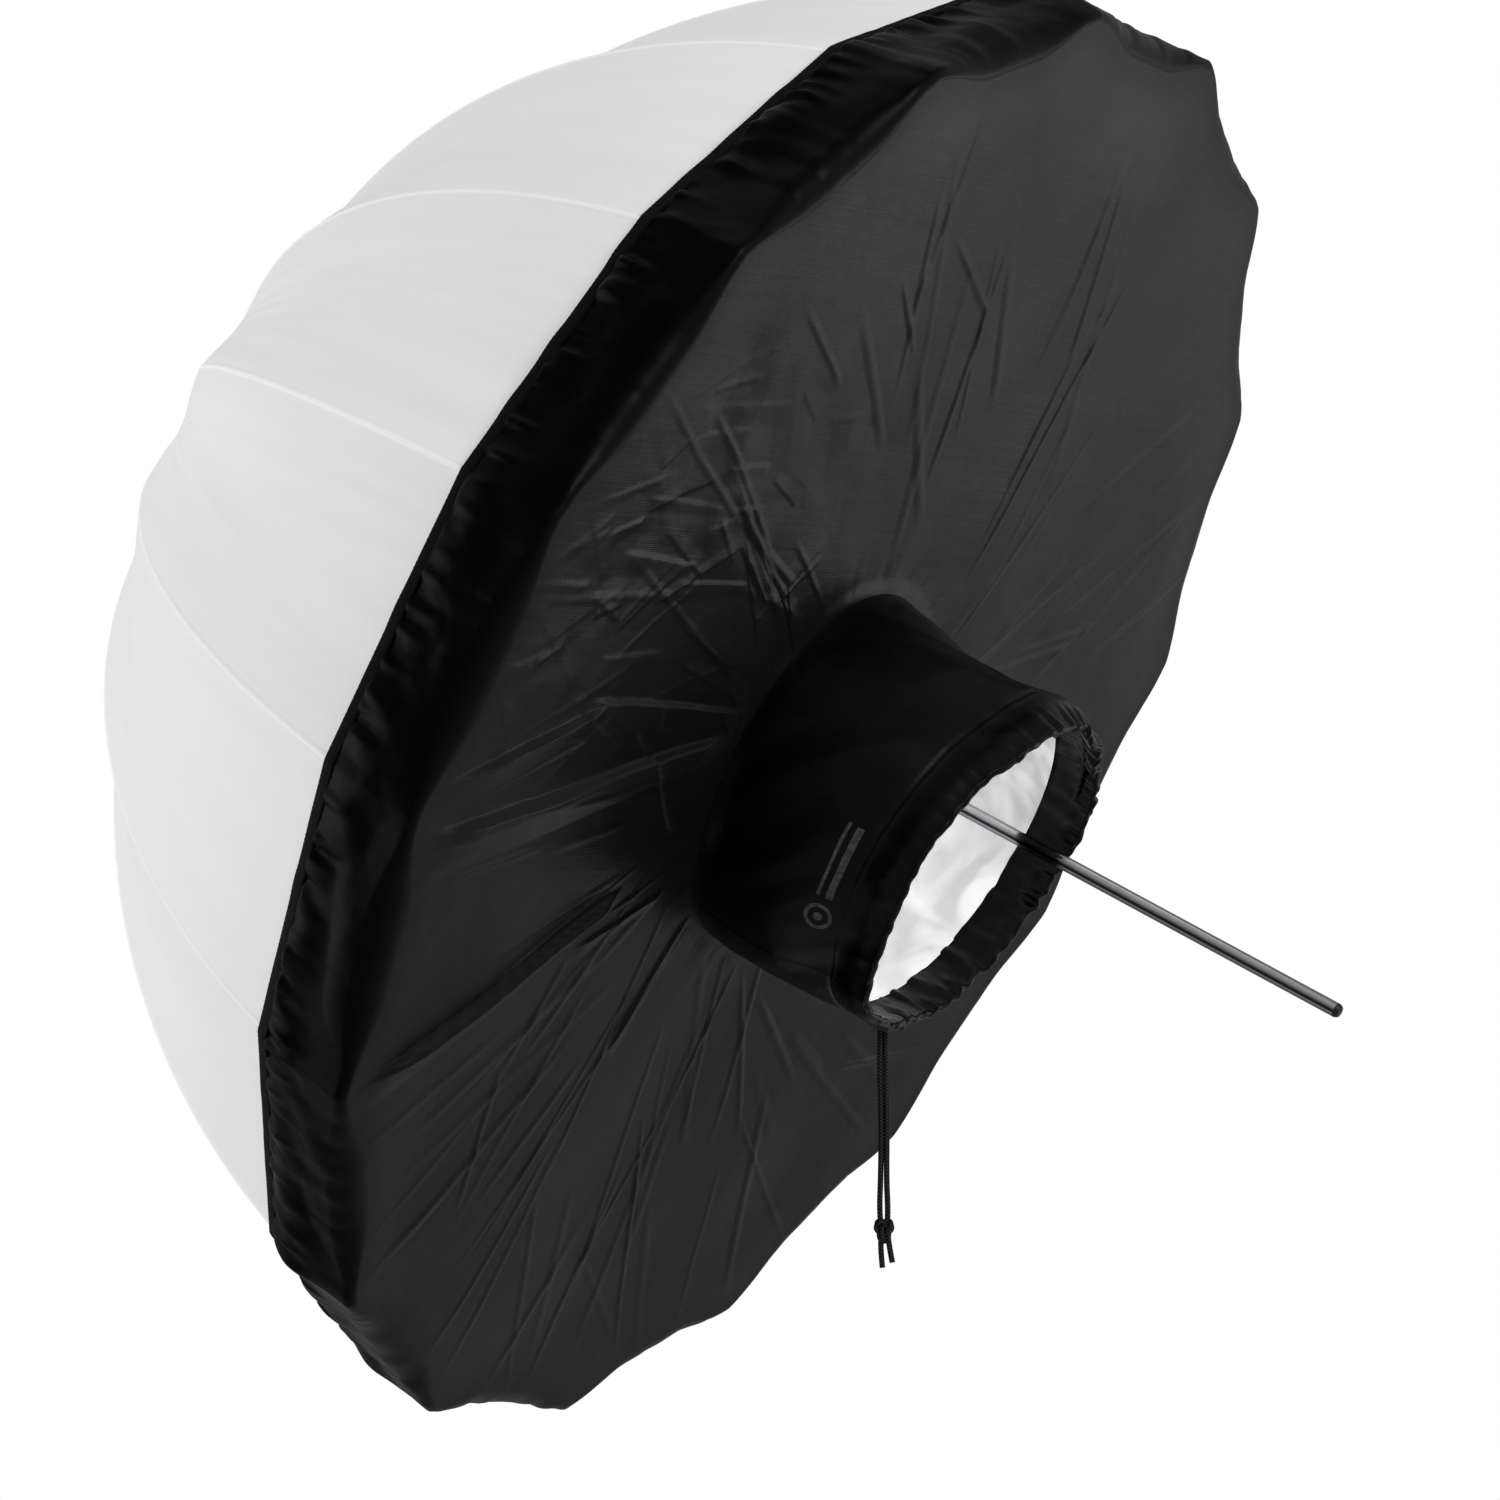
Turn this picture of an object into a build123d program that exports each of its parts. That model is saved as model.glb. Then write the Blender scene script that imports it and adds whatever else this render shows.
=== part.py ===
# Deep photographic umbrella with a fitted back panel, sleeve and drawcord.
# The umbrella is drawn about its own shaft: Z runs along the shaft to its free end and is 0 at the
# rim, X is upward across the shaft. It is then tilted about the point where a clamp grips the shaft.
import os
from math import acos, asin, atan2, cos, degrees, hypot, pi, radians, sin, sqrt, tan

from build123d import *

# Whole umbrella
rim_radius = 425.0        # centre of each rib rod at the rim
canopy_depth = 405.0      # rim plane back to the crown hinges
rib_bow = 92.0            # how far a rib stands off its own chord
rib_count = 16
rib_phase = 6.5           # degrees from straight up to the first rib
shaft_tilt = 26.0         # degrees that the free end hangs below level
clamp_station = 295.0     # where a clamp grips the shaft
clearance = 0.3           # side play of blades in slots and of soft pieces beside hard ones
seat_gap = 0.05           # between pieces pushed or clamped together on one body

# Shaft
shaft_radius = 4.0
shaft_wall = 0.8
shaft_reach = 337.0       # rim plane to the free end
cap_length = 9.0
cap_rim = 1.2
collar_length = 5.0       # ring that stops the folded runner
collar_rise = 1.4
collar_groove = 0.4       # how deep the ring sits in the shaft

# Crown
crown_hinge_radius = 16.0
crown_flange_radius = 19.0
crown_flange_front = 8.0
crown_neck_radius = 9.0
crown_neck_length = 14.0
crown_back = 1.2
hinge_wire_radius = 0.7
rib_blade_thickness = 2.4
rib_blade_width = 4.0
rib_blade_length = 22.0
washer_radius = 17.0
washer_thickness = 1.6
finial_radius = 7.0
finial_length = 16.0

# Ribs
rod_radius = 2.0
tip_radius = 3.0
tip_length = 12.0
tip_nose = 2.0
closed_tip_radius = 19.0  # how near the shaft the rod ends come when folded
joiner_fraction = 0.37    # along the rib from the crown to the stretcher pivot
joiner_length = 16.0
joiner_wall = 1.5
joiner_drop = 6.5         # rib centre in to the stretcher pivot
joiner_ear_radius = 3.2
joiner_half_width = 2.6

# Runner and stretchers
runner_station = -245.0   # hinge ring of the open umbrella
runner_hinge_radius = 13.0
runner_flange_radius = 15.6
runner_flange_front = 7.0
runner_flange_back = 6.0
runner_barrel_radius = 9.0
runner_barrel_length = 62.0
runner_grip_rings = 6
runner_grip_pitch = 6.0
runner_grip_depth = 0.8
runner_slip = 0.08        # running clearance on the shaft
stretcher_radius = 1.6
stretcher_blade_thickness = 2.0
stretcher_blade_width = 3.2
stretcher_blade_length = 16.0
stretcher_eye_thickness = 1.6
stretcher_eye_radius = 3.0
stretcher_wire_radius = 0.6
rivet_head_radius = 2.0
rivet_head_height = 0.9
button_station = 30.0     # runner hinge ring to the button
button_length = 14.0
button_width = 7.0
button_depth = 4.0
button_rise = 2.6
button_travel = 2.0
button_floor = 0.6        # left under the pressed button

# Canopy
cloth_gap = 0.5           # between a rib rod and the cloth over it
cloth_thickness = 1.0     # stands for a cloth that is much thinner
canopy_hole_radius = 8.0

# Back panel
panel_gap = 0.4
panel_thickness = 1.2
band_depth = 64.0         # rim plane back to the hem
hem_width = 7.0
hem_thickness = 2.2
face_station = 3.0
panel_pull_rate = 425.0   # travel along the shaft for each radian that the ribs fold

# Sleeve on the panel
sleeve_base_radius = 106.0
sleeve_mouth_radius = 98.0
sleeve_base_drop = 21.0   # its base sits below the shaft
sleeve_mouth_drop = 29.0
sleeve_reach = 124.0      # rim plane to the mouth
sleeve_thickness = 1.0
lining_thickness = 0.6
cuff_depth = 38.0         # dark band inside the mouth
channel_width = 24.0      # turned-back channel that holds the drawcord
cuff_thickness = 4.4
cord_radius = 1.5
cord_bore_play = 0.35
cord_exit_width = 8.4

# Drawcord, hanging plumb: places of one strand below its exit, then of its cut end
strand_gap = 3.3
strand_turn = 63.5        # strands lie side by side at this turn from straight across the shaft
knot_drop = 112.0
knot_radius = 5.4
knot_height = 14.0
strand_front = [(0.0, 0.0, 0.0), (0.5, 0.0, -9.0), (0.2, -0.3, -24.0), (1.0, 0.1, -54.0),
                (0.7, -0.2, -84.0), (-0.3, 0.3, -100.0), (0.9, 0.0, -112.0), (0.3, 0.6, -124.0),
                (1.6, 0.2, -133.0)]
strand_back = [(0.0, 0.0, 0.0), (0.3, 0.2, -9.0), (0.4, -0.1, -24.0), (0.9, 0.2, -54.0),
               (0.6, 0.1, -84.0), (1.7, -0.3, -100.0), (1.0, 0.2, -112.0), (2.7, -0.4, -122.0),
               (4.2, 0.1, -130.0)]

# Worked out from the sizes above
gore_angle = 360.0 / rib_count
half_gore = radians(gore_angle / 2)
chord = hypot(rim_radius - crown_hinge_radius, canopy_depth)
chord_angle = atan2(canopy_depth, rim_radius - crown_hinge_radius)
bow_radius = (chord ** 2 / 4 + rib_bow ** 2) / (2 * rib_bow)
bow_half_angle = asin(chord / 2 / bow_radius)
bow_centre_r = (rim_radius + crown_hinge_radius) / 2 - sin(chord_angle) * (bow_radius - rib_bow)
bow_centre_z = -canopy_depth / 2 + cos(chord_angle) * (bow_radius - rib_bow)
bow_start = chord_angle - pi / 2 - bow_half_angle
fold_angle = pi / 2 - asin((closed_tip_radius - crown_hinge_radius) / chord) - chord_angle


def bow_angle(fraction):
    return bow_start + 2 * bow_half_angle * fraction


def bow_point(fraction, offset=0.0):
    """Point of a rib's centre line as (radius, station), moved out from it by offset."""
    angle = bow_angle(fraction)
    reach = bow_radius + offset
    return bow_centre_r + reach * cos(angle), bow_centre_z + reach * sin(angle)


def folded(point, angle=fold_angle):
    """Where a point of a rib lies once the rib has turned in by angle."""
    r, z = point[0] - crown_hinge_radius, point[1] + canopy_depth
    return (crown_hinge_radius + r * cos(angle) - z * sin(angle),
            -canopy_depth + r * sin(angle) + z * cos(angle))


pivot = bow_point(joiner_fraction, -joiner_drop)
stretcher_run = pivot[0] - runner_hinge_radius
stretcher_rise = pivot[1] - runner_station
stretcher_length = hypot(stretcher_run, stretcher_rise)
stretcher_open = atan2(stretcher_rise, stretcher_run)
closed_pivot = folded(pivot)
closed_run = closed_pivot[0] - runner_hinge_radius
closed_rise = sqrt(stretcher_length ** 2 - closed_run ** 2)
runner_travel = closed_pivot[1] + closed_rise - runner_station
collar_station = runner_station + runner_travel + runner_flange_front + runner_barrel_length + clearance
stretcher_fold = atan2(-closed_rise, closed_run) - stretcher_open
pivot_side = joiner_half_width + clearance + stretcher_eye_thickness / 2
canopy_inner = rod_radius + cloth_gap
canopy_outer = canopy_inner + cloth_thickness
band_inner = canopy_outer + panel_gap
band_outer = band_inner + panel_thickness
face_front = face_station + panel_thickness

up_across = Vector(sin(radians(shaft_tilt)), 0, cos(radians(shaft_tilt)))
along_shaft = Vector(cos(radians(shaft_tilt)), 0, -sin(radians(shaft_tilt)))
umbrella_frame = Plane(origin=along_shaft * -clamp_station, x_dir=up_across, z_dir=along_shaft)


def write(solids, node):
    """Write one sub-part, given about the shaft, in the tilted frame of the whole object."""
    placed = umbrella_frame.location * Compound(children=list(solids))
    export_step(Compound(children=placed.solids()), f"parts/{node}.step")


def tube(inner, outer, start, end):
    """Round tube about the shaft, or a rod where inner is 0."""
    body = Pos(0, 0, start) * Cylinder(outer, end - start, align=(Align.CENTER, Align.CENTER, Align.MIN))
    if inner:
        body -= Pos(0, 0, start) * Cylinder(
            inner, end - start, align=(Align.CENTER, Align.CENTER, Align.MIN))
    return body


def turned(points):
    """Solid of revolution about the shaft from (radius, station) points."""
    return revolve(Plane.XZ * make_face(Polyline(*points, close=True)), Axis.Z)


def radial_slots(body, hinge, eye_radius, thickness, start, end):
    """Cut one slot for each rib, outward from just inside its hinge eye."""
    width = thickness + 2 * clearance
    inner = hinge - eye_radius - clearance
    slot = Pos(inner, 0, start) * Box(
        hinge, width, end - start, align=(Align.MIN, Align.CENTER, Align.MIN))
    for k in range(rib_count):
        body -= Rot(0, 0, rib_phase + k * gore_angle) * slot
    return body


# Shaft and crown

def make_shaft():
    start = -canopy_depth - crown_back
    whole = tube(shaft_radius - shaft_wall, shaft_radius, start, shaft_reach)
    end = collar_station + collar_length
    return [whole - tube(shaft_radius - collar_groove, shaft_radius + collar_rise, collar_station, end)]


def make_shaft_cap():
    plug = tube(0, shaft_radius - shaft_wall - seat_gap, shaft_reach - cap_length, shaft_reach)
    dome = Pos(0, 0, shaft_reach) * Sphere(shaft_radius)
    dome &= tube(0, shaft_radius, shaft_reach, shaft_reach + shaft_radius)
    flat = tube(0, shaft_radius, shaft_reach, shaft_reach + shaft_radius - cap_rim)
    return [plug + (dome & flat)]


def make_collar():
    end = collar_station + collar_length
    inside = shaft_radius - collar_groove + seat_gap
    ring = tube(inside, shaft_radius + collar_rise, collar_station + seat_gap, end - seat_gap)
    return [chamfer(ring.edges().filter_by(GeomType.CIRCLE).group_by(SortBy.RADIUS)[-1],
                    collar_rise / 3)]


def make_crown_hub():
    back = -canopy_depth - crown_back
    front = -canopy_depth + crown_flange_front
    hub = turned([(shaft_radius + seat_gap, back), (crown_flange_radius, back),
                  (crown_flange_radius, front), (crown_neck_radius, front),
                  (crown_neck_radius, front + crown_neck_length),
                  (shaft_radius + seat_gap, front + crown_neck_length)])
    hub = radial_slots(hub, crown_hinge_radius, rib_blade_width / 2, rib_blade_thickness, back, front)
    hub -= Pos(0, 0, -canopy_depth) * Torus(crown_hinge_radius, hinge_wire_radius + seat_gap)
    return [hub]


def make_crown_wire():
    return [Pos(0, 0, -canopy_depth) * Torus(crown_hinge_radius, hinge_wire_radius)]


def canopy_back(radius):
    """Station of the canopy's outer face at a small radius, near the crown."""
    reach = bow_radius + canopy_outer
    return bow_centre_z - sqrt(reach ** 2 - (radius - bow_centre_r) ** 2)


def make_washer():
    # a shallow cone that lies on the cloth
    rim = canopy_back(washer_radius) - clearance
    bore = canopy_back(shaft_radius) - clearance
    stem = shaft_radius - shaft_wall + seat_gap
    return [turned([(stem, bore), (washer_radius, rim), (washer_radius, rim - washer_thickness),
                    (stem, bore - washer_thickness)])]


def make_finial():
    seat = canopy_back(shaft_radius) - clearance - washer_thickness - seat_gap
    drop = canopy_back(shaft_radius) - canopy_back(finial_radius)
    stem = shaft_radius - shaft_wall - seat_gap
    body = turned([(0, -canopy_depth + crown_flange_front), (stem, -canopy_depth + crown_flange_front),
                   (stem, seat + drop), (finial_radius, seat + drop),
                   (finial_radius, seat + drop - finial_length / 2),
                   (finial_radius * 0.7, seat - finial_length), (0, seat - finial_length)])
    return [fillet(body.edges().filter_by(GeomType.CIRCLE).group_by(Axis.Z)[0], finial_radius / 3)]


# Ribs

def rib_path(start, end):
    first, last = bow_point(start), bow_point(end)
    middle = bow_point((start + end) / 2)
    return ThreePointArc(*[(r, 0, z) for r, z in (first, middle, last)])


def bow_fraction(length):
    return length / (2 * bow_half_angle * bow_radius)


def along_rib(fraction, piece):
    """Put a piece drawn with X along the rib and Z toward the umbrella's inside at a place on a rib."""
    r, z = bow_point(fraction)
    angle = bow_angle(fraction)
    return Pos(r, 0, z) * Rot(0, -degrees(angle) - 90, 0) * piece


def make_rib():
    root = bow_fraction(rib_blade_length)
    path = rib_path(root * 0.55, 1.0)
    rod = sweep(Plane(origin=path @ 0, z_dir=path % 0) * Circle(rod_radius), path=path)
    first, second = bow_point(0.0), bow_point(root)
    lean = atan2(second[1] - first[1], second[0] - first[0])
    blade = Box(rib_blade_length, rib_blade_thickness, rib_blade_width,
                align=(Align.MIN, Align.CENTER, Align.CENTER))
    blade += Rot(90, 0, 0) * Cylinder(rib_blade_width / 2, rib_blade_thickness)
    blade -= Rot(90, 0, 0) * Cylinder(hinge_wire_radius + clearance, rib_blade_thickness * 2)
    return rod + Pos(first[0], 0, first[1]) * Rot(0, -degrees(lean), 0) * blade


def make_joiner():
    sleeve = Rot(0, 90, 0) * Cylinder(rod_radius + joiner_wall, joiner_length)
    ear = Pos(0, 0, joiner_drop) * Rot(90, 0, 0) * Cylinder(joiner_ear_radius, 2 * joiner_half_width)
    web = Pos(0, 0, joiner_drop / 2) * Box(2 * joiner_ear_radius, 2 * joiner_half_width, joiner_drop)
    block = sleeve + ear + web
    block -= Rot(0, 90, 0) * Cylinder(rod_radius + seat_gap, 2 * joiner_length)
    block &= Box(2 * joiner_length, 2 * joiner_half_width, 4 * joiner_drop)
    # the clip is open toward the cloth
    block -= Pos(0, 0, -rod_radius / 2) * Box(2 * joiner_length, 4 * joiner_half_width, 2 * joiner_drop,
                                              align=(Align.CENTER, Align.CENTER, Align.MAX))
    return along_rib(joiner_fraction, block)


def make_tip():
    cap = Rot(0, 90, 0) * Cylinder(tip_radius, tip_length, align=(Align.CENTER, Align.CENTER, Align.MAX))
    cap = fillet(cap.edges().filter_by(GeomType.CIRCLE).sort_by(Axis.X)[-1], tip_nose / 2)
    cap -= Pos(-tip_nose, 0, 0) * Rot(0, 90, 0) * Cylinder(
        rod_radius + seat_gap, tip_length, align=(Align.CENTER, Align.CENTER, Align.MAX))
    return along_rib(1.0, Pos(tip_nose, 0, 0) * cap)


# Runner, its button and the stretchers

def make_runner():
    back = runner_station - runner_flange_back
    front = runner_station + runner_flange_front
    end = front + runner_barrel_length
    bore = shaft_radius + runner_slip
    body = turned([(bore, back), (runner_flange_radius, back), (runner_flange_radius, front),
                   (runner_barrel_radius, front), (runner_barrel_radius, end), (bore, end)])
    body = radial_slots(body, runner_hinge_radius, stretcher_blade_width / 2,
                        stretcher_blade_thickness, back, front)
    body -= Pos(0, 0, runner_station) * Torus(runner_hinge_radius, stretcher_wire_radius + seat_gap)
    first_ring = end - runner_grip_pitch
    for k in range(runner_grip_rings):
        groove = Torus(runner_barrel_radius + runner_grip_depth, 2 * runner_grip_depth)
        if first_ring - k * runner_grip_pitch > runner_station + button_station + button_length:
            body -= Pos(0, 0, first_ring - k * runner_grip_pitch) * groove
    pocket = Box(button_depth + button_travel, button_width + 2 * clearance,
                 button_length + 2 * clearance, align=(Align.MIN, Align.CENTER, Align.CENTER))
    floor = shaft_radius + runner_slip + button_floor
    return [body - Pos(floor, 0, runner_station + button_station) * pocket]


def make_runner_wire():
    return [Pos(0, 0, runner_station) * Torus(runner_hinge_radius, stretcher_wire_radius)]


def make_button():
    floor = shaft_radius + runner_slip + button_floor + button_travel + clearance
    height = runner_barrel_radius + button_rise - floor
    key = Box(height, button_width, button_length, align=(Align.MIN, Align.CENTER, Align.CENTER))
    key = fillet(key.edges().group_by(Axis.X)[-1], button_rise / 3)
    return [Pos(floor, 0, runner_station + button_station) * key]


def make_stretcher():
    lean = Rot(0, -degrees(stretcher_open), 0)
    side = degrees(atan2(pivot_side, stretcher_length))
    rod_start = stretcher_blade_length * 0.6
    rod_end = stretcher_length - stretcher_eye_radius / 2
    rod = Pos(rod_start, 0, 0) * Rot(0, 90, 0) * Cylinder(
        stretcher_radius, rod_end - rod_start, align=(Align.CENTER, Align.CENTER, Align.MIN))
    rod = Rot(0, 0, side) * rod
    blade = Box(stretcher_blade_length, stretcher_blade_thickness, stretcher_blade_width,
                align=(Align.MIN, Align.CENTER, Align.CENTER))
    blade += Rot(90, 0, 0) * Cylinder(stretcher_blade_width / 2, stretcher_blade_thickness)
    blade -= Rot(90, 0, 0) * Cylinder(stretcher_wire_radius + clearance, stretcher_blade_thickness * 2)
    eye = Pos(stretcher_length, pivot_side, 0) * Rot(90, 0, 0) * Cylinder(
        stretcher_eye_radius, stretcher_eye_thickness)
    head_side = pivot_side + stretcher_eye_thickness / 2
    head = Pos(stretcher_length, head_side, 0) * Rot(-90, 0, 0) * Cylinder(
        rivet_head_radius, rivet_head_height, align=(Align.CENTER, Align.CENTER, Align.MIN))
    inner_face = pivot_side - stretcher_eye_thickness / 2
    trim = Pos(stretcher_length, inner_face, 0) * Box(
        8 * stretcher_eye_radius, 2 * stretcher_eye_thickness, 8 * stretcher_eye_radius,
        align=(Align.CENTER, Align.MAX, Align.CENTER))
    arm = (rod - trim) + blade + eye + head
    return Pos(runner_hinge_radius, 0, runner_station) * lean * arm


# Cloth

def bowed_strip(inner, outer, start, end):
    """Cloth between two ribs, straight from rib to rib: inner and outer are its faces' offsets from
    the rib centre line, start and end are fractions along the rib."""
    squeeze = cos(half_gore)
    centre = (bow_centre_r * squeeze, bow_centre_z)
    arcs = []
    for offset in (inner, outer):
        reach = bow_radius + offset
        arcs.append(EllipticalCenterArc(centre, reach * squeeze, reach, degrees(bow_angle(start)),
                                        arc_size=degrees(bow_angle(end) - bow_angle(start))))
    ends = [Line(arcs[0] @ 0, arcs[1] @ 0), Line(arcs[0] @ 1, arcs[1] @ 1)]
    profile = Plane.XZ * make_face([*arcs, *ends])
    half = (rim_radius + 2 * outer) * sin(half_gore) + 1
    return extrude(profile, half, both=True)


def gore_wedge():
    reach = 2 * rim_radius
    side = reach * tan(half_gore)
    outline = make_face(Polyline((0, 0), (reach, -side), (reach, side), close=True))
    return Pos(0, 0, -2 * canopy_depth) * extrude(outline, 4 * canopy_depth)


def make_canopy_panels():
    """Eight panels of two gores each, named for the rib down their middle."""
    rim = 1 - bow_fraction(tip_length - tip_nose + clearance)
    crown = bow_fraction(canopy_hole_radius - crown_hinge_radius)
    gore = bowed_strip(canopy_inner, canopy_outer, crown, rim) & gore_wedge()
    pair = Rot(0, 0, gore_angle / 2) * gore + Rot(0, 0, -gore_angle / 2) * gore
    return {2 * k + 1: [Rot(0, 0, rib_phase + 2 * k * gore_angle) * pair]
            for k in range(rib_count // 2)}


def fraction_at(station, offset):
    """Fraction along the rib where a face offset from it reaches a station."""
    angle = asin((station - bow_centre_z) / (bow_radius + offset))
    return (angle - bow_start) / (2 * bow_half_angle)


def ring_of_gores(inner, outer, start_station, end_station):
    """Faceted cloth ring round the rim."""
    start = fraction_at(start_station - 2 * outer, outer)
    end = fraction_at(end_station + 2 * outer, outer)
    strip = bowed_strip(inner, outer, start, end) & gore_wedge()
    strip &= Pos(0, 0, start_station) * Box(4 * rim_radius, 4 * rim_radius, end_station - start_station,
                                            align=(Align.CENTER, Align.CENTER, Align.MIN))
    ring = Rot(0, 0, rib_phase + gore_angle / 2) * strip
    for k in range(1, rib_count):
        ring += Rot(0, 0, rib_phase + (k + 0.5) * gore_angle) * strip
    return [ring]


def make_band():
    return ring_of_gores(band_inner, band_outer, -band_depth + hem_width, face_station)


def make_hem():
    outer = band_inner + hem_thickness
    return ring_of_gores(band_inner, outer, -band_depth, -band_depth + hem_width - seat_gap)


def sleeve_drop(station):
    share = station / sleeve_reach
    return sleeve_base_drop + (sleeve_mouth_drop - sleeve_base_drop) * share


def sleeve_radius(station):
    share = station / sleeve_reach
    return sleeve_base_radius + (sleeve_mouth_radius - sleeve_base_radius) * share


def make_face_panel():
    corner = bow_centre_r + sqrt((bow_radius + band_outer) ** 2 - (face_station - bow_centre_z) ** 2)
    outline = Rot(0, 0, rib_phase) * RegularPolygon(corner, rib_count)
    hole = Pos(-sleeve_drop(0), 0) * Circle(sleeve_radius(0) - sleeve_thickness)
    return [Pos(0, 0, face_station) * extrude(outline - hole, panel_thickness)]


def sleeve_tube(inset, thickness, start, end):
    """Leaning tube inside the sleeve's outer surface."""
    shells = []
    for skin in (inset, inset + thickness):
        rings = [Pos(-sleeve_drop(z), 0, z) * Circle(sleeve_radius(z) - skin) for z in (start, end)]
        shells.append(loft(rings))
    return shells[0] - shells[1]


def make_sleeve():
    return [sleeve_tube(0, sleeve_thickness, face_front, sleeve_reach - channel_width)]


def make_lining():
    inset = sleeve_thickness + clearance
    return [sleeve_tube(inset, lining_thickness, face_front, sleeve_reach - cuff_depth - seat_gap)]


def cord_station():
    return sleeve_reach - channel_width / 2


def cord_ring(radius):
    z = cord_station()
    ring_radius = sleeve_radius(z) - cuff_thickness / 2
    return Pos(-sleeve_drop(z), 0, z) * Torus(ring_radius, radius)


def make_cuff():
    """Dark band inside the mouth and the turned channel at it, one sewn piece."""
    inner_band = sleeve_tube(sleeve_thickness + clearance, cuff_thickness - sleeve_thickness - clearance,
                             sleeve_reach - cuff_depth, sleeve_reach - channel_width)
    channel = sleeve_tube(0, cuff_thickness, sleeve_reach - channel_width, sleeve_reach)
    cuff = inner_band + channel - cord_ring(cord_radius + cord_bore_play)
    z = cord_station()
    low = -sleeve_drop(z) - sleeve_radius(z) + cuff_thickness / 2
    gate = Pos(low, 0, z) * Box(2 * cuff_thickness, cord_exit_width, 2 * (cord_radius + cord_bore_play),
                                align=(Align.MAX, Align.CENTER, Align.CENTER))
    return [cuff - gate]


def cord_exit():
    """Middle of the drawcord's exit, in the tilted frame."""
    z = cord_station()
    low = -sleeve_drop(z) - sleeve_radius(z) + cuff_thickness / 2
    slope = sin(radians(strand_turn)) * tan(radians(shaft_tilt)) * strand_gap / 2
    drop = cord_radius + cord_bore_play + 2 * clearance + slope
    return umbrella_frame.from_local_coords(Vector(low - drop, 0, z))


def strand_points(places, side):
    turn = radians(strand_turn)
    start = cord_exit() + Vector(sin(turn), cos(turn), 0) * (side * strand_gap / 2)
    return [start + Vector(*place) for place in places]


def strand_radii(points):
    radii = []
    for before, corner, after in zip(points, points[1:], points[2:]):
        turn = radians((corner - before).get_angle(after - corner))
        shorter = min((corner - before).length, (after - corner).length)
        radii.append(0.45 * shorter / tan(turn / 2))
    return radii


def make_strand(places, side, node):
    points = strand_points(places, side)
    radii = strand_radii(points)
    path = FilletPolyline(*points, radius=radii)
    strand = sweep(Plane(origin=path @ 0, z_dir=path % 0) * Circle(cord_radius), path=path)
    section = pi * cord_radius ** 2
    print(node, "radii", [round(r) for r in radii], "length", round(path.length, 1),
          "volume share", round(strand.volume / (section * path.length), 4))
    export_step(Compound(children=strand.solids()), f"parts/{node}.step")


def make_knot():
    """Overhand knot of both strands, as its plain outer shape."""
    centre = cord_exit() + Vector(strand_front[6][0], 0, -knot_drop)
    half = knot_height / 2
    ball = Sphere(half) & Box(2 * knot_radius, 2 * knot_radius, knot_height)
    export_step(Compound(children=(Pos(*centre) * ball).solids()), "parts/drawcord_knot.step")


def main():
    os.makedirs("parts", exist_ok=True)
    write(make_shaft(), "shaft_tube")
    write(make_shaft_cap(), "shaft_end_cap")
    write(make_collar(), "shaft_collar")
    write(make_crown_hub(), "crown_hub")
    write(make_crown_wire(), "crown_wire")
    write(make_washer(), "crown_washer")
    write(make_finial(), "crown_finial")
    write(make_runner(), "runner")
    write(make_runner_wire(), "runner_wire")
    write(make_button(), "runner_button")
    rib = Compound(children=[*make_rib().solids(), *make_joiner().solids(), *make_tip().solids()])
    stretcher = make_stretcher()
    for k in range(rib_count):
        turn = Rot(0, 0, rib_phase + k * gore_angle)
        write((turn * rib).solids(), f"rib_{k + 1:02d}")
        write((turn * stretcher).solids(), f"stretcher_{k + 1:02d}")
    for number, panel in make_canopy_panels().items():
        write(panel, f"canopy_panel_{number:02d}")
    write(make_face_panel(), "back_panel_face")
    write(make_band(), "back_panel_band")
    write(make_hem(), "back_panel_hem")
    write(make_sleeve(), "sleeve")
    write(make_lining(), "sleeve_lining")
    write(make_cuff(), "sleeve_cuff")
    write([cord_ring(cord_radius)], "drawcord_loop")
    make_strand(strand_front, -1, "drawcord_front")
    make_strand(strand_back, 1, "drawcord_back")
    make_knot()
    print("fold angle", round(degrees(fold_angle), 3), "stretcher fold", round(degrees(stretcher_fold), 3),
          "runner travel", round(runner_travel, 3), "panel pull", round(fold_angle * panel_pull_rate, 3))


main()
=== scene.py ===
import math

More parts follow.
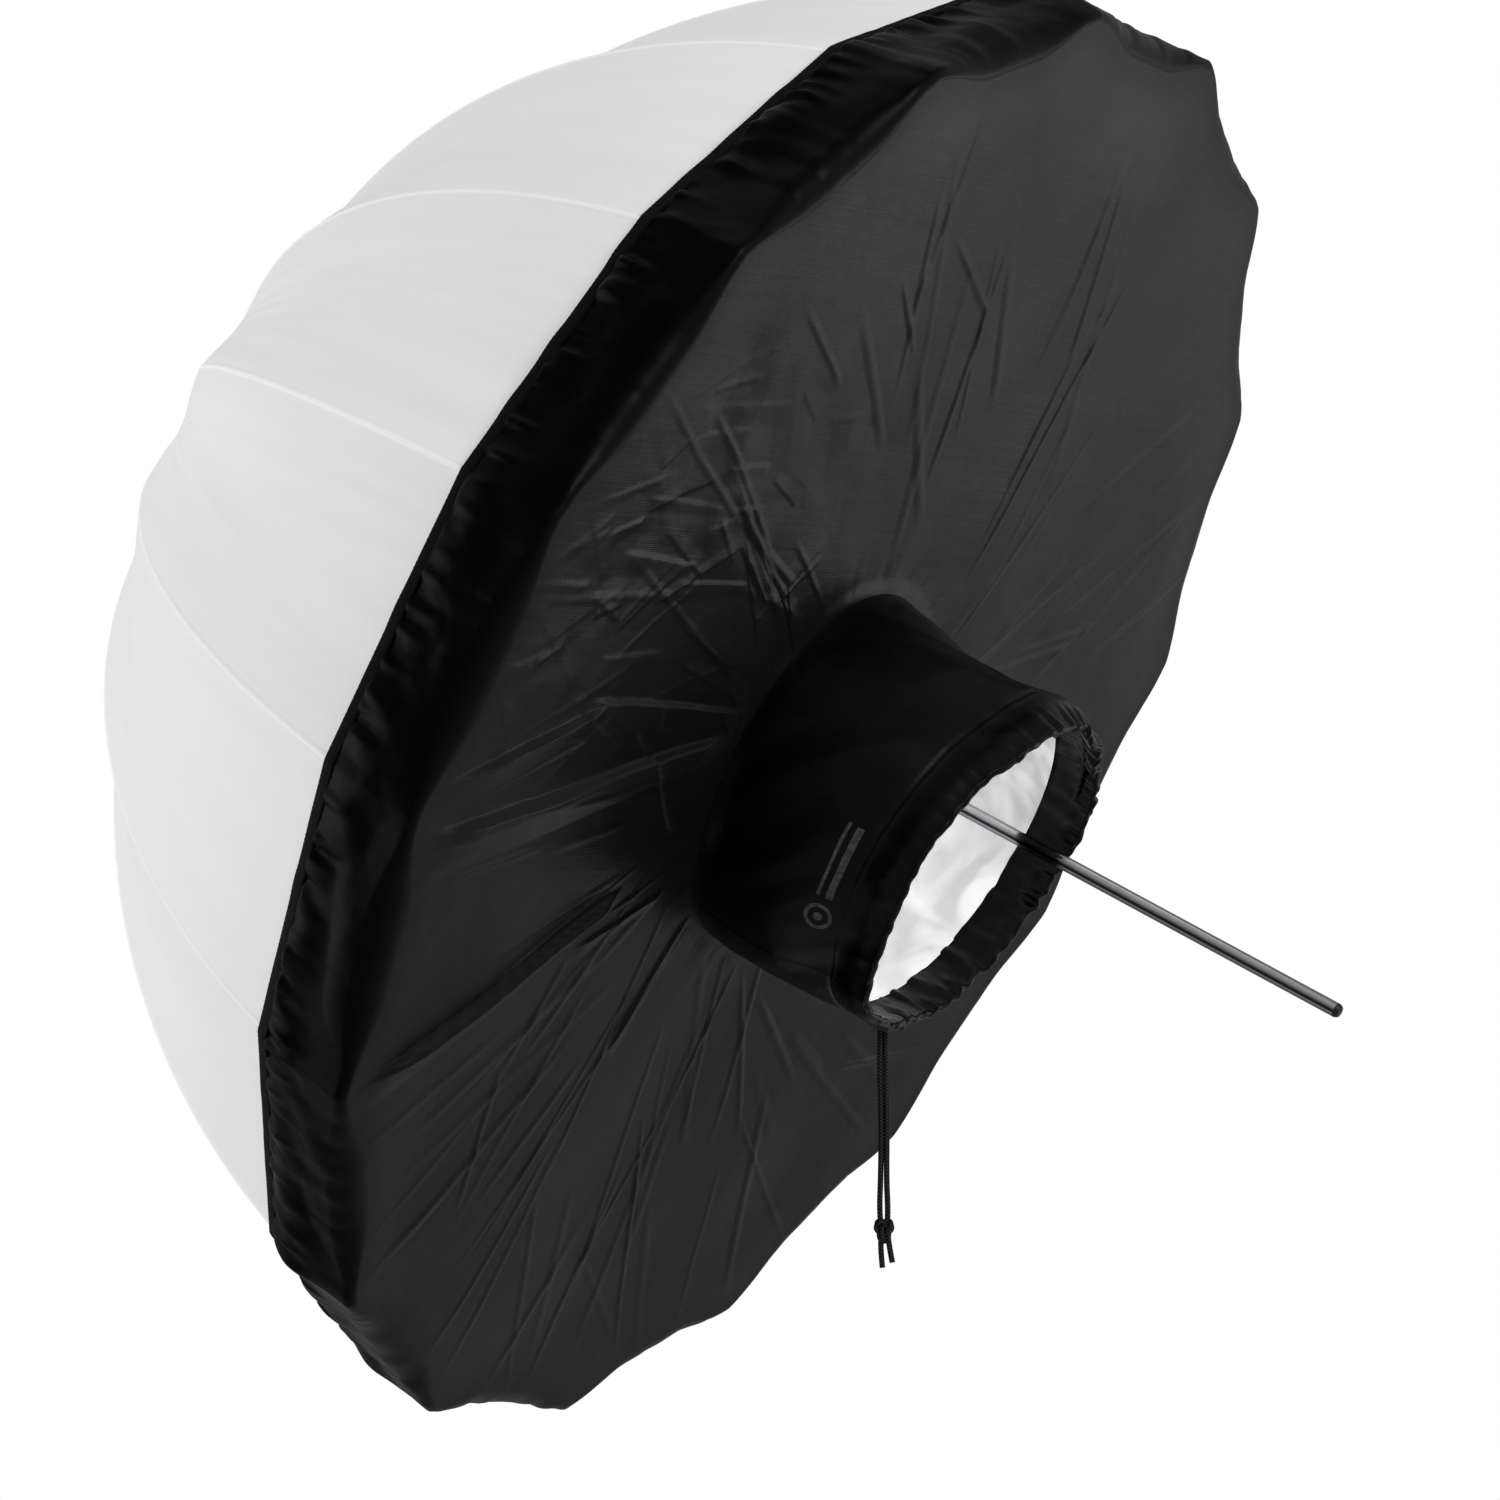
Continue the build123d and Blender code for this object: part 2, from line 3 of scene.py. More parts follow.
import bmesh
import bpy
import numpy as np
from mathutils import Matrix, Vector


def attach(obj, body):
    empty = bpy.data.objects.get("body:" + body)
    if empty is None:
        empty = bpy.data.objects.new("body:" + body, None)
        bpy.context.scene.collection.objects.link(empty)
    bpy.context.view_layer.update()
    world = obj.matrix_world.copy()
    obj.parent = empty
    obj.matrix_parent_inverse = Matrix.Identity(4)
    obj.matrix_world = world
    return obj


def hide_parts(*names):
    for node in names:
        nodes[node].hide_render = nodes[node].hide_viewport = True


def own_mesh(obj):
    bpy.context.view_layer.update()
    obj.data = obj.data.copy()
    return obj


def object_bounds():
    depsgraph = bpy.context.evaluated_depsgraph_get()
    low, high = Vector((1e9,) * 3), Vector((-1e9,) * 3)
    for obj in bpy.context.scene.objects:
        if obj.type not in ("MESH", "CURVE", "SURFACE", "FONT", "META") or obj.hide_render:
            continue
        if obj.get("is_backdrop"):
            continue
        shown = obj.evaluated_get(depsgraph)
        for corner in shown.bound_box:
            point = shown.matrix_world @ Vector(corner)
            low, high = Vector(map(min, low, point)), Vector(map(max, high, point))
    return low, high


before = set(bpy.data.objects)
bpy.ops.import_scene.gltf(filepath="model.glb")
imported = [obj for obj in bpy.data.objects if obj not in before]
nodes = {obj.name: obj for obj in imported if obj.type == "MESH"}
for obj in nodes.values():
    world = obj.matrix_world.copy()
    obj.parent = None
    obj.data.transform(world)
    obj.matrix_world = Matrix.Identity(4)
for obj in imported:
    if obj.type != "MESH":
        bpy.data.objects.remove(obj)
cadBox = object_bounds()
scene = bpy.context.scene
print("frame loaded")

# the umbrella's own directions: along its shaft to the free end, up across the shaft, and to its side
shaftTilt = math.radians(26)
along = np.array([math.cos(shaftTilt), 0, -math.sin(shaftTilt)])
up = np.array([math.sin(shaftTilt), 0, math.cos(shaftTilt)])
side = np.array([0.0, -1.0, 0.0])
rimStation = -0.295

# the canopy's ribs, each an arc from the crown to the rim
ribCount = 16
goreAngle = 2 * math.pi / ribCount
halfGore = goreAngle / 2
ribPhase = math.radians(6.5)
rimRadius, crownRadius, canopyDepth, ribBow = 0.425, 0.016, 0.405, 0.092
chordLength = math.hypot(rimRadius - crownRadius, canopyDepth)
chordAngle = math.atan2(canopyDepth, rimRadius - crownRadius)
bowRadius = (chordLength ** 2 / 4 + ribBow ** 2) / (2 * ribBow)
bowHalf = math.asin(chordLength / 2 / bowRadius)
bowCentreR = (rimRadius + crownRadius) / 2 - math.sin(chordAngle) * (bowRadius - ribBow)
bowCentreZ = -canopyDepth / 2 + math.cos(chordAngle) * (bowRadius - ribBow)
bowStart = chordAngle - math.pi / 2 - bowHalf
bowLength = 2 * bowHalf * bowRadius


# from the umbrella's own directions, with z counted from the rim towards the free end
def toWorld(x, y, z):
    x, y, z = np.broadcast_arrays(x, y, z)
    return x[..., None] * up + y[..., None] * side + (z[..., None] + rimStation) * along


def bowAt(fraction, offset):
    angle = bowStart + 2 * bowHalf * fraction
    return (bowCentreR + (bowRadius + offset) * np.cos(angle),
            bowCentreZ + (bowRadius + offset) * np.sin(angle))


def bowRadiusAt(station, offset):
    return bowCentreR + np.sqrt((bowRadius + offset) ** 2 - (station - bowCentreZ) ** 2)


def fromRib(angle):
    return (angle - ribPhase + halfGore) % goreAngle - halfGore


def chordShare(angle):
    return math.cos(halfGore) / np.cos(halfGore - np.abs(fromRib(angle)))


def smooth(value, low, high):
    t = np.clip((value - low) / (high - low), 0, 1)
    return t * t * (3 - 2 * t)


def bell(value, middle, width):
    return np.exp(-((value - middle) / width) ** 2)


latticeSize = 97


# soft random heights from -1 to 1 on a grid of that cell, the same on every run
def noise(x, y, cell, seed):
    lattice = np.random.default_rng(seed).uniform(-1, 1, (latticeSize, latticeSize))
    x, y = np.broadcast_arrays(x / cell, y / cell)
    ix, iy = np.floor(x).astype(int), np.floor(y).astype(int)
    fx, fy = x - ix, y - iy
    fx, fy = fx * fx * (3 - 2 * fx), fy * fy * (3 - 2 * fy)
    corner = lambda i, j: lattice[(ix + i) % latticeSize, (iy + j) % latticeSize]
    low = corner(0, 0) * (1 - fx) + corner(1, 0) * fx
    high = corner(0, 1) * (1 - fx) + corner(1, 1) * fx
    return low * (1 - fy) + high * fy


# sharp creases between soft facets, as crumpled cloth has
def crumple(x, y, cell, seed):
    total = 0
    for octave in range(3):
        turn, share = 0.7 + 0.9 * octave, 0.55 ** octave
        u = x * math.cos(turn) - y * math.sin(turn)
        v = x * math.sin(turn) + y * math.cos(turn)
        total = total + share * facets(u, v, cell * share, seed + octave)
    return total / 1.85  # the sum of the three shares


# flat triangles between random heights, so every edge between them is a crease
def facets(x, y, cell, seed):
    lattice = np.random.default_rng(seed).uniform(-1, 1, (latticeSize, latticeSize))
    x, y = np.broadcast_arrays(x / cell, y / cell)
    x = x + 0.35 * np.sin(y * 1.7)
    ix, iy = np.floor(x).astype(int), np.floor(y).astype(int)
    fx, fy = x - ix, y - iy
    corner = lambda i, j: lattice[(ix + i) % latticeSize, (iy + j) % latticeSize]
    low = corner(0, 0) + fx * (corner(1, 0) - corner(0, 0)) + fy * (corner(1, 1) - corner(1, 0))
    high = corner(0, 0) + fy * (corner(0, 1) - corner(0, 0)) + fx * (corner(1, 1) - corner(0, 1))
    return np.where(fx > fy, low, high)


# height of a straight fold from start to end, rounded at its top and flat on both its sides
def fold(x, y, start, end, width, height, softness):
    dx, dy = end[0] - start[0], end[1] - start[1]
    length = math.hypot(dx, dy)
    t = ((x - start[0]) * dx + (y - start[1]) * dy) / length ** 2
    off = np.abs((x - start[0]) * dy - (y - start[1]) * dx) / length / width
    ends = smooth(t, -0.08, 0.18) * (1 - smooth(t, 0.72, 1.08))
    top = np.maximum(0, 1 - np.sqrt(off ** 2 + softness ** 2) + softness)
    return height * ends * np.minimum(top, 1)


# height of a flat fold from start to end: an even rise across its width, then a steep drop
def flatFold(x, y, start, end, width, height):
    dx, dy = end[0] - start[0], end[1] - start[1]
    length = math.hypot(dx, dy)
    t = ((x - start[0]) * dx + (y - start[1]) * dy) / length ** 2
    spread = width * (0.6 + 0.4 * np.clip(t, 0, 1))
    off = ((x - start[0]) * dy - (y - start[1]) * dx) / length / spread
    ends = smooth(t, -0.04, 0.1) * (1 - smooth(t, 0.86, 1.06))
    return height * ends * np.clip((1 + off) / 1.8, 0, 1) * (1 - smooth(off, 0.8, 1.1))


# points is rows by columns by 3; uv is the cloth's own flat coordinates in metres
def gridMesh(name, points, uv, ring=False, ringRows=False, slots=None, parts=None):
    rows, columns = points.shape[:2]
    index = np.arange(rows * columns).reshape(rows, columns)
    a = index if ringRows else index[:-1]
    b = np.roll(index, -1, 0) if ringRows else index[1:]
    if not ring:
        quads = np.stack([a[:, :-1], a[:, 1:], b[:, 1:], b[:, :-1]], -1)
    else:
        quads = np.stack([a, np.roll(a, -1, 1), np.roll(b, -1, 1), b], -1)
    shape = quads.shape[:2]
    quads = quads.reshape(-1, 4)
    mesh = bpy.data.meshes.new(name)
    mesh.from_pydata(points.reshape(-1, 3).tolist(), [], quads.tolist())
    layer = mesh.uv_layers.new(name="cloth")
    flat = uv.reshape(-1, 2)[quads.reshape(-1)]
    layer.data.foreach_set("uv", flat.astype(np.float32).ravel())
    mesh.polygons.foreach_set("use_smooth", np.ones(len(quads), bool))
    obj = bpy.data.objects.new(name, mesh)
    scene.collection.objects.link(obj)
    for material in slots or []:
        mesh.materials.append(material)
    if parts is not None:
        mesh.polygons.foreach_set("material_index", np.broadcast_to(parts, shape).ravel().astype(np.int32))
    mesh.update()
    return obj


# colours are written as sRGB hex
def linear(hexColour):
    parts = [int(hexColour[i:i + 2], 16) / 255 for i in (1, 3, 5)]
    return tuple(c / 12.92 if c <= 0.04045 else ((c + 0.055) / 1.055) ** 2.4 for c in parts) + (1.0,)


def addNode(tree, kind, inputs=None, **settings):
    node = tree.nodes.new(kind)
    for key, value in settings.items():
        setattr(node, key, value)
    for key, value in (inputs or {}).items():
        if isinstance(value, bpy.types.NodeSocket):
            tree.links.new(value, node.inputs[key])
        else:
            node.inputs[key].default_value = value
    return node


def newMaterial(name, shader):
    material = bpy.data.materials.new(name)
    material.use_nodes = True
    tree = material.node_tree
    tree.nodes.clear()
    surface = addNode(tree, "ShaderNodeBsdfPrincipled", shader)
    addNode(tree, "ShaderNodeOutputMaterial", {"Surface": surface.outputs["BSDF"]})
    return material, tree, surface


def blendColours(tree, factor, first, second):
    return addNode(tree, "ShaderNodeMix", {0: factor, 6: first, 7: second}, data_type="RGBA").outputs[2]


def ramp(tree, value, low, high, toLow=0.0, toHigh=1.0):
    inputs = {"Value": value, "From Min": low, "From Max": high, "To Min": toLow, "To Max": toHigh}
    return addNode(tree, "ShaderNodeMapRange", inputs).outputs[0]


def objectPlace(tree):
    return addNode(tree, "ShaderNodeTexCoord").outputs["Object"]


def addNoise(tree, place, scale, detail, distortion=0.0):
    inputs = {"Vector": place, "Scale": scale, "Detail": detail, "Distortion": distortion}
    return addNode(tree, "ShaderNodeTexNoise", inputs).outputs["Fac"]


def addBump(tree, height, strength, distance, under=None):
    inputs = {"Height": height, "Strength": strength, "Distance": distance}
    if under is not None:
        inputs["Normal"] = under
    return addNode(tree, "ShaderNodeBump", inputs).outputs[0]


# a wave texture at scale 1 repeats after this many metres
wavePeriod = 0.314


# woven cloth: crossing threads, long slubs, a cloudy shade and fine creases
def clothMaterial(name, look):
    material, tree, surface = newMaterial(name, {
        "Roughness": look["roughness"], "Specular IOR Level": look["specular"], "Sheen Weight": look["sheen"],
        "Sheen Roughness": look["sheenRoughness"], "Sheen Tint": linear(look["sheenColour"])})
    place = addNode(tree, "ShaderNodeUVMap", uv_map="cloth").outputs["UV"]
    solid = objectPlace(tree)
    wave = {"Vector": place, "Scale": wavePeriod / look["pitch"], "Distortion": 0.6, "Detail": 0.0}
    warp = addNode(tree, "ShaderNodeTexWave", wave, bands_direction="X").outputs["Fac"]
    weft = addNode(tree, "ShaderNodeTexWave", wave, bands_direction="Y").outputs["Fac"]
    threads = addNode(tree, "ShaderNodeMath", {0: warp, 1: weft}, operation="MULTIPLY").outputs[0]
    # long slubs along the warp
    stretch = (1 / look["slubWidth"], 1 / look["slubLength"], 1)
    stretched = addNode(tree, "ShaderNodeMapping", {"Vector": place, "Scale": stretch}).outputs[0]
    slubs = addNoise(tree, stretched, 1.0, 3.0)
    clouds = addNoise(tree, solid, 1 / look["cloudSize"], 4.0)
    base = blendColours(tree, ramp(tree, clouds, 0.3, 0.7), linear(look["dark"]), linear(look["light"]))
    slubShare = ramp(tree, slubs, 0.35, 0.75, 0.0, look["slubShow"])
    base = blendColours(tree, slubShare, base, linear(look["slub"]))
    gapShare = ramp(tree, threads, 0.0, 1.0, look["threadShow"], 0.0)
    base = blendColours(tree, gapShare, base, linear(look["dark"]))
    tree.links.new(base, surface.inputs["Base Color"])
    rough = ramp(tree, clouds, 0.3, 0.7, look["roughness"] - 0.06, look["roughness"] + 0.06)
    tree.links.new(rough, surface.inputs["Roughness"])
    creases = addNoise(tree, solid, 1 / look["creaseSize"], 5.0, 0.8)
    first = addBump(tree, creases, look["creaseStrength"], look["creaseDepth"])
    second = addBump(tree, slubs, 0.25, 0.0004, first)
    third = addBump(tree, threads, look["weaveStrength"], 0.00025, second)
    tree.links.new(third, surface.inputs["Normal"])
    return material


# diffusion nylon, a close white weave: bright and even, with a painted glow for the light that comes through
canopyLook = {"dark": "#EDEDED", "light": "#F4F4F3", "slub": "#E2E3E4", "slubShow": 0.5, "threadShow": 0.1,
              "roughness": 0.62, "specular": 0.3, "sheen": 0.15, "sheenRoughness": 0.5,
              "sheenColour": "#FFFFFF", "pitch": 0.0012, "slubWidth": 0.012, "slubLength": 0.4,
              "cloudSize": 0.25, "creaseSize": 0.06, "creaseStrength": 0.25, "creaseDepth": 0.002,
              "weaveStrength": 0.15}
canopyCloth = clothMaterial("white_diffusion_cloth", canopyLook)
# the seam over each rib, folded double: paler and smoother than one layer
canopySeam = clothMaterial("white_seam_tape", canopyLook | {
    "dark": "#FBFBFB", "light": "#FFFFFF", "slubShow": 0.0, "creaseStrength": 0.1})
# painted glow: an even emission stands in for the daylight that soaks through it and evens out its shading
canopyPaintedGlow, liningPaintedGlow = 0.21, 0.44
for cloth in (canopyCloth, canopySeam):
    canopySurface = cloth.node_tree.nodes["Principled BSDF"]
    canopySurface.inputs["Emission Color"].default_value = linear("#FFFFFF")
    canopySurface.inputs["Emission Strength"].default_value = canopyPaintedGlow
# black polyester taffeta with a coated side: nearly black head on, a satin grey sheen at a low angle
panelLook = {"dark": "#101010", "light": "#151516", "slub": "#1B1B1D", "slubShow": 0.35, "threadShow": 0.2,
             "roughness": 0.34, "specular": 0.17, "sheen": 0.03, "sheenRoughness": 0.35,
             "sheenColour": "#C8C8CC", "pitch": 0.0011, "slubWidth": 0.003, "slubLength": 0.12,
             "cloudSize": 0.12, "creaseSize": 0.035, "creaseStrength": 0.35, "creaseDepth": 0.0012,
             "weaveStrength": 0.2}
panelCloth = clothMaterial("black_taffeta", panelLook)
# painted shade: the band behind the fold is the same cloth, given a darker colour because it faces away from
# the light, and a duller shine
bandTree = panelCloth.node_tree
bandSurface = bandTree.nodes["Principled BSDF"]
zoneMap = addNode(bandTree, "ShaderNodeUVMap", uv_map="zone").outputs["UV"]
zone = addNode(bandTree, "ShaderNodeSeparateXYZ", {0: zoneMap})
bandTree.links.new(ramp(bandTree, zone.outputs[0], 0.0, 1.0, panelLook["specular"], 0.025),
                   bandSurface.inputs["Specular IOR Level"])
faceColour = bandSurface.inputs["Base Color"].links[0].from_socket
kinkPlace = objectPlace(bandTree)
# painted shade: the face is darker low down, where less light reaches it
heightUp = addNode(bandTree, "ShaderNodeSeparateXYZ", {0: kinkPlace}).outputs["Z"]
faceColour = blendColours(bandTree, ramp(bandTree, heightUp, -0.05, 0.16), linear("#070708"), faceColour)
# painted shade: the cloth turns darker from the face's outer edge round the fold to the band
bandTree.links.new(blendColours(bandTree, zone.outputs[0], faceColour, linear("#030303")),
                   bandSurface.inputs["Base Color"])
# kinks too small for the mesh: sharp where the cloth is slack, faint elsewhere
kinkLook = {"Vector": kinkPlace, "Scale": 24.0, "Detail": 3.0, "Roughness": 0.6, "Distortion": 0.5}
kinks = addNode(bandTree, "ShaderNodeTexNoise", kinkLook, noise_type="RIDGED_MULTIFRACTAL").outputs["Fac"]
kinkAmount = ramp(bandTree, zone.outputs[1], 0.0, 1.0, 0.08, 0.22)
kinkBump = addBump(bandTree, kinks, kinkAmount, 0.0035, bandSurface.inputs["Normal"].links[0].from_socket)
bandTree.links.new(kinkBump, bandSurface.inputs["Normal"])
# the same taffeta on the sleeve, painted darker than the face's cloth as painted shade, and flatter
sleeveCloth = clothMaterial("black_sleeve_taffeta", panelLook | {
    "dark": "#010101", "light": "#020203", "slub": "#050506", "roughness": 0.3, "sheen": 0.0,
    "creaseSize": 0.05, "creaseStrength": 0.3})
# ribbed elastic binding: matt, with fine cross ribs
hemBinding = clothMaterial("black_elastic_binding", panelLook | {
    "dark": "#050505", "light": "#090909", "slub": "#0E0E0E", "roughness": 0.75, "specular": 0.1,
    "sheen": 0.01, "pitch": 0.0016, "weaveStrength": 0.6, "creaseStrength": 0.1})
# white nylon lining, thin and soft: a painted glow stands in for the light from the canopy that soaks through
liningCloth = clothMaterial("white_lining", canopyLook | {
    "dark": "#EFEFEF", "light": "#FAFAFA", "slub": "#E6E6E6", "creaseSize": 0.03, "creaseStrength": 0.45,
    "roughness": 0.55})
liningSurface = liningCloth.node_tree.nodes["Principled BSDF"]
liningTree = liningCloth.node_tree
# painted shade of soft folds: a cloudy noise darkens the painted glow in patches
liningPaintedFoldShade = ramp(liningTree, addNoise(liningTree, objectPlace(liningTree), 22.0, 2.0, 1.4), 0.35, 0.62)
liningTree.links.new(blendColours(liningTree, liningPaintedFoldShade, linear("#9A9A9A"), linear("#FFFFFF")),
                     liningSurface.inputs["Emission Color"])
liningSurface.inputs["Emission Strength"].default_value = liningPaintedGlow


# steel: faint lines along the shaft, a few specks, and painted bright and dark reflection streaks
def metalMaterial(name, look):
    material, tree, surface = newMaterial(name, {"Metallic": 1.0})
    place = objectPlace(tree)
    turned = addNode(tree, "ShaderNodeMapping", {"Vector": place, "Rotation": (0, -shaftTilt, 0),
                                                 "Scale": (14.0, 900.0, 900.0)}).outputs[0]
    lines = addNoise(tree, turned, 1.0, 3.0)
    specks = ramp(tree, addNoise(tree, place, 160.0, 5.0), 0.35, 0.7, 0.0, 0.4)
    colour = blendColours(tree, specks, linear(look["light"]), linear(look["dark"]))
    # painted reflection: a round bar mirrors its surroundings in long streaks, so the base colour is darkened
    # and lightened by how far the surface faces up
    normal = addNode(tree, "ShaderNodeNewGeometry").outputs["Normal"]
    facingUp = addNode(tree, "ShaderNodeSeparateXYZ", {0: normal}).outputs["Z"]
    paintedReflection = addNode(tree, "ShaderNodeValToRGB", {"Fac": ramp(tree, facingUp, -1.0, 1.0)})
    for position, shade in look["paintedReflection"]:
        element = paintedReflection.color_ramp.elements.new(position)
        element.color = linear(shade)
    colour = addNode(tree, "ShaderNodeMix", {0: 1.0, 6: colour, 7: paintedReflection.outputs[0]}, data_type="RGBA",
                     blend_type="MULTIPLY").outputs[2]
    tree.links.new(colour, surface.inputs["Base Color"])
    rough = ramp(tree, lines, 0.3, 0.75, look["roughness"] * 0.7, look["roughness"] * 1.5)
    tree.links.new(rough, surface.inputs["Roughness"])
    tree.links.new(addBump(tree, lines, look["lines"], 0.00008), surface.inputs["Normal"])
    return material


# painted reflection streaks on bright chrome, from facing down to facing up
chromePaintedReflection = ((0.06, "#2C2C2E"), (0.2, "#8E8E90"), (0.3, "#B9B9BB"), (0.37, "#3A3A3C"), (0.47, "#2A2A2C"),
                 (0.54, "#7E7E80"), (0.68, "#D9D9DB"), (0.8, "#FFFFFF"), (0.94, "#8C8C8E"))
brightSteel = metalMaterial("bright_steel", {
    "dark": "#C4C6C9", "light": "#E6E7E9", "roughness": 0.08, "lines": 0.1, "paintedReflection": chromePaintedReflection})
stretcherSteel = metalMaterial("steel_arm", {
    "dark": "#8F9194", "light": "#B9BBBE", "roughness": 0.3, "lines": 0.5,
    "paintedReflection": ((0.2, "#8E8E90"), (0.45, "#C4C4C6"), (0.8, "#FFFFFF"))})


# moulded plastic or drawn rod: fine mould grain, and a painted sheen that makes it paler where its surface is
# seen edge-on
def plasticMaterial(name, look):
    material, tree, surface = newMaterial(name, {"Specular IOR Level": look["specular"]})
    place = objectPlace(tree)
    grain = addNoise(tree, place, 1 / look["grain"], 3.0)
    patches = addNoise(tree, place, 55.0, 4.0)
    # painted sheen: paler where the surface turns away from the view
    paintedSheenMask = addNode(tree, "ShaderNodeLayerWeight", {"Blend": 0.25}).outputs["Facing"]
    colour = blendColours(tree, ramp(tree, patches, 0.35, 0.7), linear(look["dark"]), linear(look["light"]))
    colour = blendColours(tree, ramp(tree, paintedSheenMask, 0.6, 1.0, 0.0, 0.3), colour, linear(look["paintedSheen"]))
    tree.links.new(colour, surface.inputs["Base Color"])
    rough = ramp(tree, patches, 0.3, 0.7, look["roughness"] - 0.08, look["roughness"] + 0.08)
    tree.links.new(rough, surface.inputs["Roughness"])
    tree.links.new(addBump(tree, grain, 0.2, 0.0001), surface.inputs["Normal"])
    return material


blackNylon = plasticMaterial("black_nylon", {
    "dark": "#121213", "light": "#1B1B1C", "paintedSheen": "#3A3A3C", "grain": 0.0008, "roughness": 0.42,
    "specular": 0.45})
fibreglassRod = plasticMaterial("fibreglass_rod", {
    "dark": "#BFC2BC", "light": "#D5D7D1", "paintedSheen": "#ECEDE9", "grain": 0.0012, "roughness": 0.36,
    "specular": 0.5})


# tight round braid in black polyester: slanting stitches, their tops painted pale as painted highlights in
# small flecks
def braidMaterial(name):
    material, tree, surface = newMaterial(name, {"Roughness": 0.6, "Specular IOR Level": 0.35})
    place = objectPlace(tree)
    stitchPitch = 0.0016
    slants = []
    for lean in (0.6, -0.6):
        turn = {"Vector": place, "Rotation": (0.0, lean, 0.5)}
        turned = addNode(tree, "ShaderNodeMapping", turn).outputs[0]
        wave = {"Vector": turned, "Scale": wavePeriod / stitchPitch, "Distortion": 0.5, "Detail": 0.0}
        slants.append(addNode(tree, "ShaderNodeTexWave", wave, bands_direction="Z").outputs["Fac"])
    stitches = addNode(tree, "ShaderNodeMath", {0: slants[0], 1: slants[1]}, operation="MULTIPLY").outputs[0]
    # painted highlight: the tops of the stitches are paler than the black cord
    colour = blendColours(tree, ramp(tree, stitches, 0.35, 0.9), linear("#050505"), linear("#4C4C4E"))
    tree.links.new(colour, surface.inputs["Base Color"])
    tree.links.new(addBump(tree, stitches, 0.8, 0.0005), surface.inputs["Normal"])
    return material


blackBraid = braidMaterial("black_braid")


# grey screen print, finely cracked all over
def printMaterial(name):
    material, tree, surface = newMaterial(name, {"Roughness": 0.55, "Specular IOR Level": 0.3})
    place = objectPlace(tree)
    cracks = addNoise(tree, place, 420.0, 4.0)
    colour = blendColours(tree, ramp(tree, cracks, 0.4, 0.65), linear("#3F3F41"), linear("#5C5C5F"))
    tree.links.new(colour, surface.inputs["Base Color"])
    tree.links.new(addBump(tree, cracks, 0.2, 0.0001), surface.inputs["Normal"])
    return material


greyPrint = printMaterial("grey_print")

hardFinishes = {"shaft_tube": brightSteel, "shaft_end_cap": blackNylon, "shaft_collar": brightSteel,
                "crown_hub": blackNylon, "crown_wire": stretcherSteel, "crown_washer": brightSteel,
                "crown_finial": blackNylon, "runner": blackNylon, "runner_wire": stretcherSteel,
                "runner_button": brightSteel, "drawcord_loop": blackBraid}
for name, node in nodes.items():
    finish = hardFinishes.get(name)
    if name.startswith("rib_"):
        finish = fibreglassRod
    if name.startswith("stretcher_"):
        finish = stretcherSteel
    if finish:
        node.data.materials.clear()
        node.data.materials.append(finish)
print("materials made")

# camera: level, nearly four metres off, with a long lens
cameraLook = {"azimuth": math.radians(26.45), "distance": 3.916, "lens": 171.1, "aimRight": -0.0395,
              "aimUp": -0.0099}
viewRight = Vector((math.cos(cameraLook["azimuth"]), math.sin(cameraLook["azimuth"]), 0))
viewBack = Vector((math.sin(cameraLook["azimuth"]), -math.cos(cameraLook["azimuth"]), 0))
rimCentre = Vector(along * rimStation)
cameraData = bpy.data.cameras.new("camera")
cameraData.lens = cameraLook["lens"]
cameraData.sensor_width = 36
camera = bpy.data.objects.new("camera", cameraData)
scene.collection.objects.link(camera)
camera.location = (rimCentre + viewRight * cameraLook["aimRight"] + Vector((0, 0, cameraLook["aimUp"]))
                   + viewBack * cameraLook["distance"])
camera.rotation_euler = viewBack.to_track_quat("Z", "Y").to_euler()
scene.camera = camera

# drawcord: two strands of 3 mm braid hanging from the sleeve's channel to a knot
cordLook = {"diameter": 0.003, "gap": 0.0031, "exit": (-0.2283, 0.0, -0.0308), "lengths": (0.1332, 0.1305)}
# where each strand runs, in millimetres from its exit
strandRoutes = {
    "drawcord_front": [(0.0, 0.0, 0.0), (0.5, 0.0, -9.0), (0.2, -0.3, -24.0), (1.0, 0.1, -54.0),
                       (0.7, -0.2, -84.0), (-0.3, 0.3, -100.0), (0.9, 0.0, -112.0), (0.3, 0.6, -124.0),
                       (1.6, 0.2, -133.0)],
    "drawcord_back": [(0.0, 0.0, 0.0), (0.3, 0.2, -9.0), (0.4, -0.1, -24.0), (0.9, 0.2, -54.0),
                      (0.6, 0.1, -84.0), (1.7, -0.3, -100.0), (1.0, 0.2, -112.0), (2.7, -0.4, -122.0),
                      (4.2, 0.1, -130.0)]}


def makeStrand(name, offset):
    start = Vector(cordLook["exit"]) + offset
    curve = bpy.data.curves.new(name + "_braid", "CURVE")
    curve.dimensions = "3D"
    curve.bevel_depth = cordLook["diameter"] * 0.53
    curve.bevel_resolution = 5
    curve.resolution_u = 12
    curve.use_fill_caps = True
    spline = curve.splines.new("NURBS")
    route = strandRoutes[name]
    spline.points.add(len(route) - 1)
    for point, place in zip(spline.points, route):
        point.co = (*(start + Vector(place) / 1000), 1.0)
    spline.order_u = 3
    spline.use_endpoint_u = True
    curve.materials.append(blackBraid)
    obj = bpy.data.objects.new(name + "_braid", curve)
    scene.collection.objects.link(obj)
    return obj, start


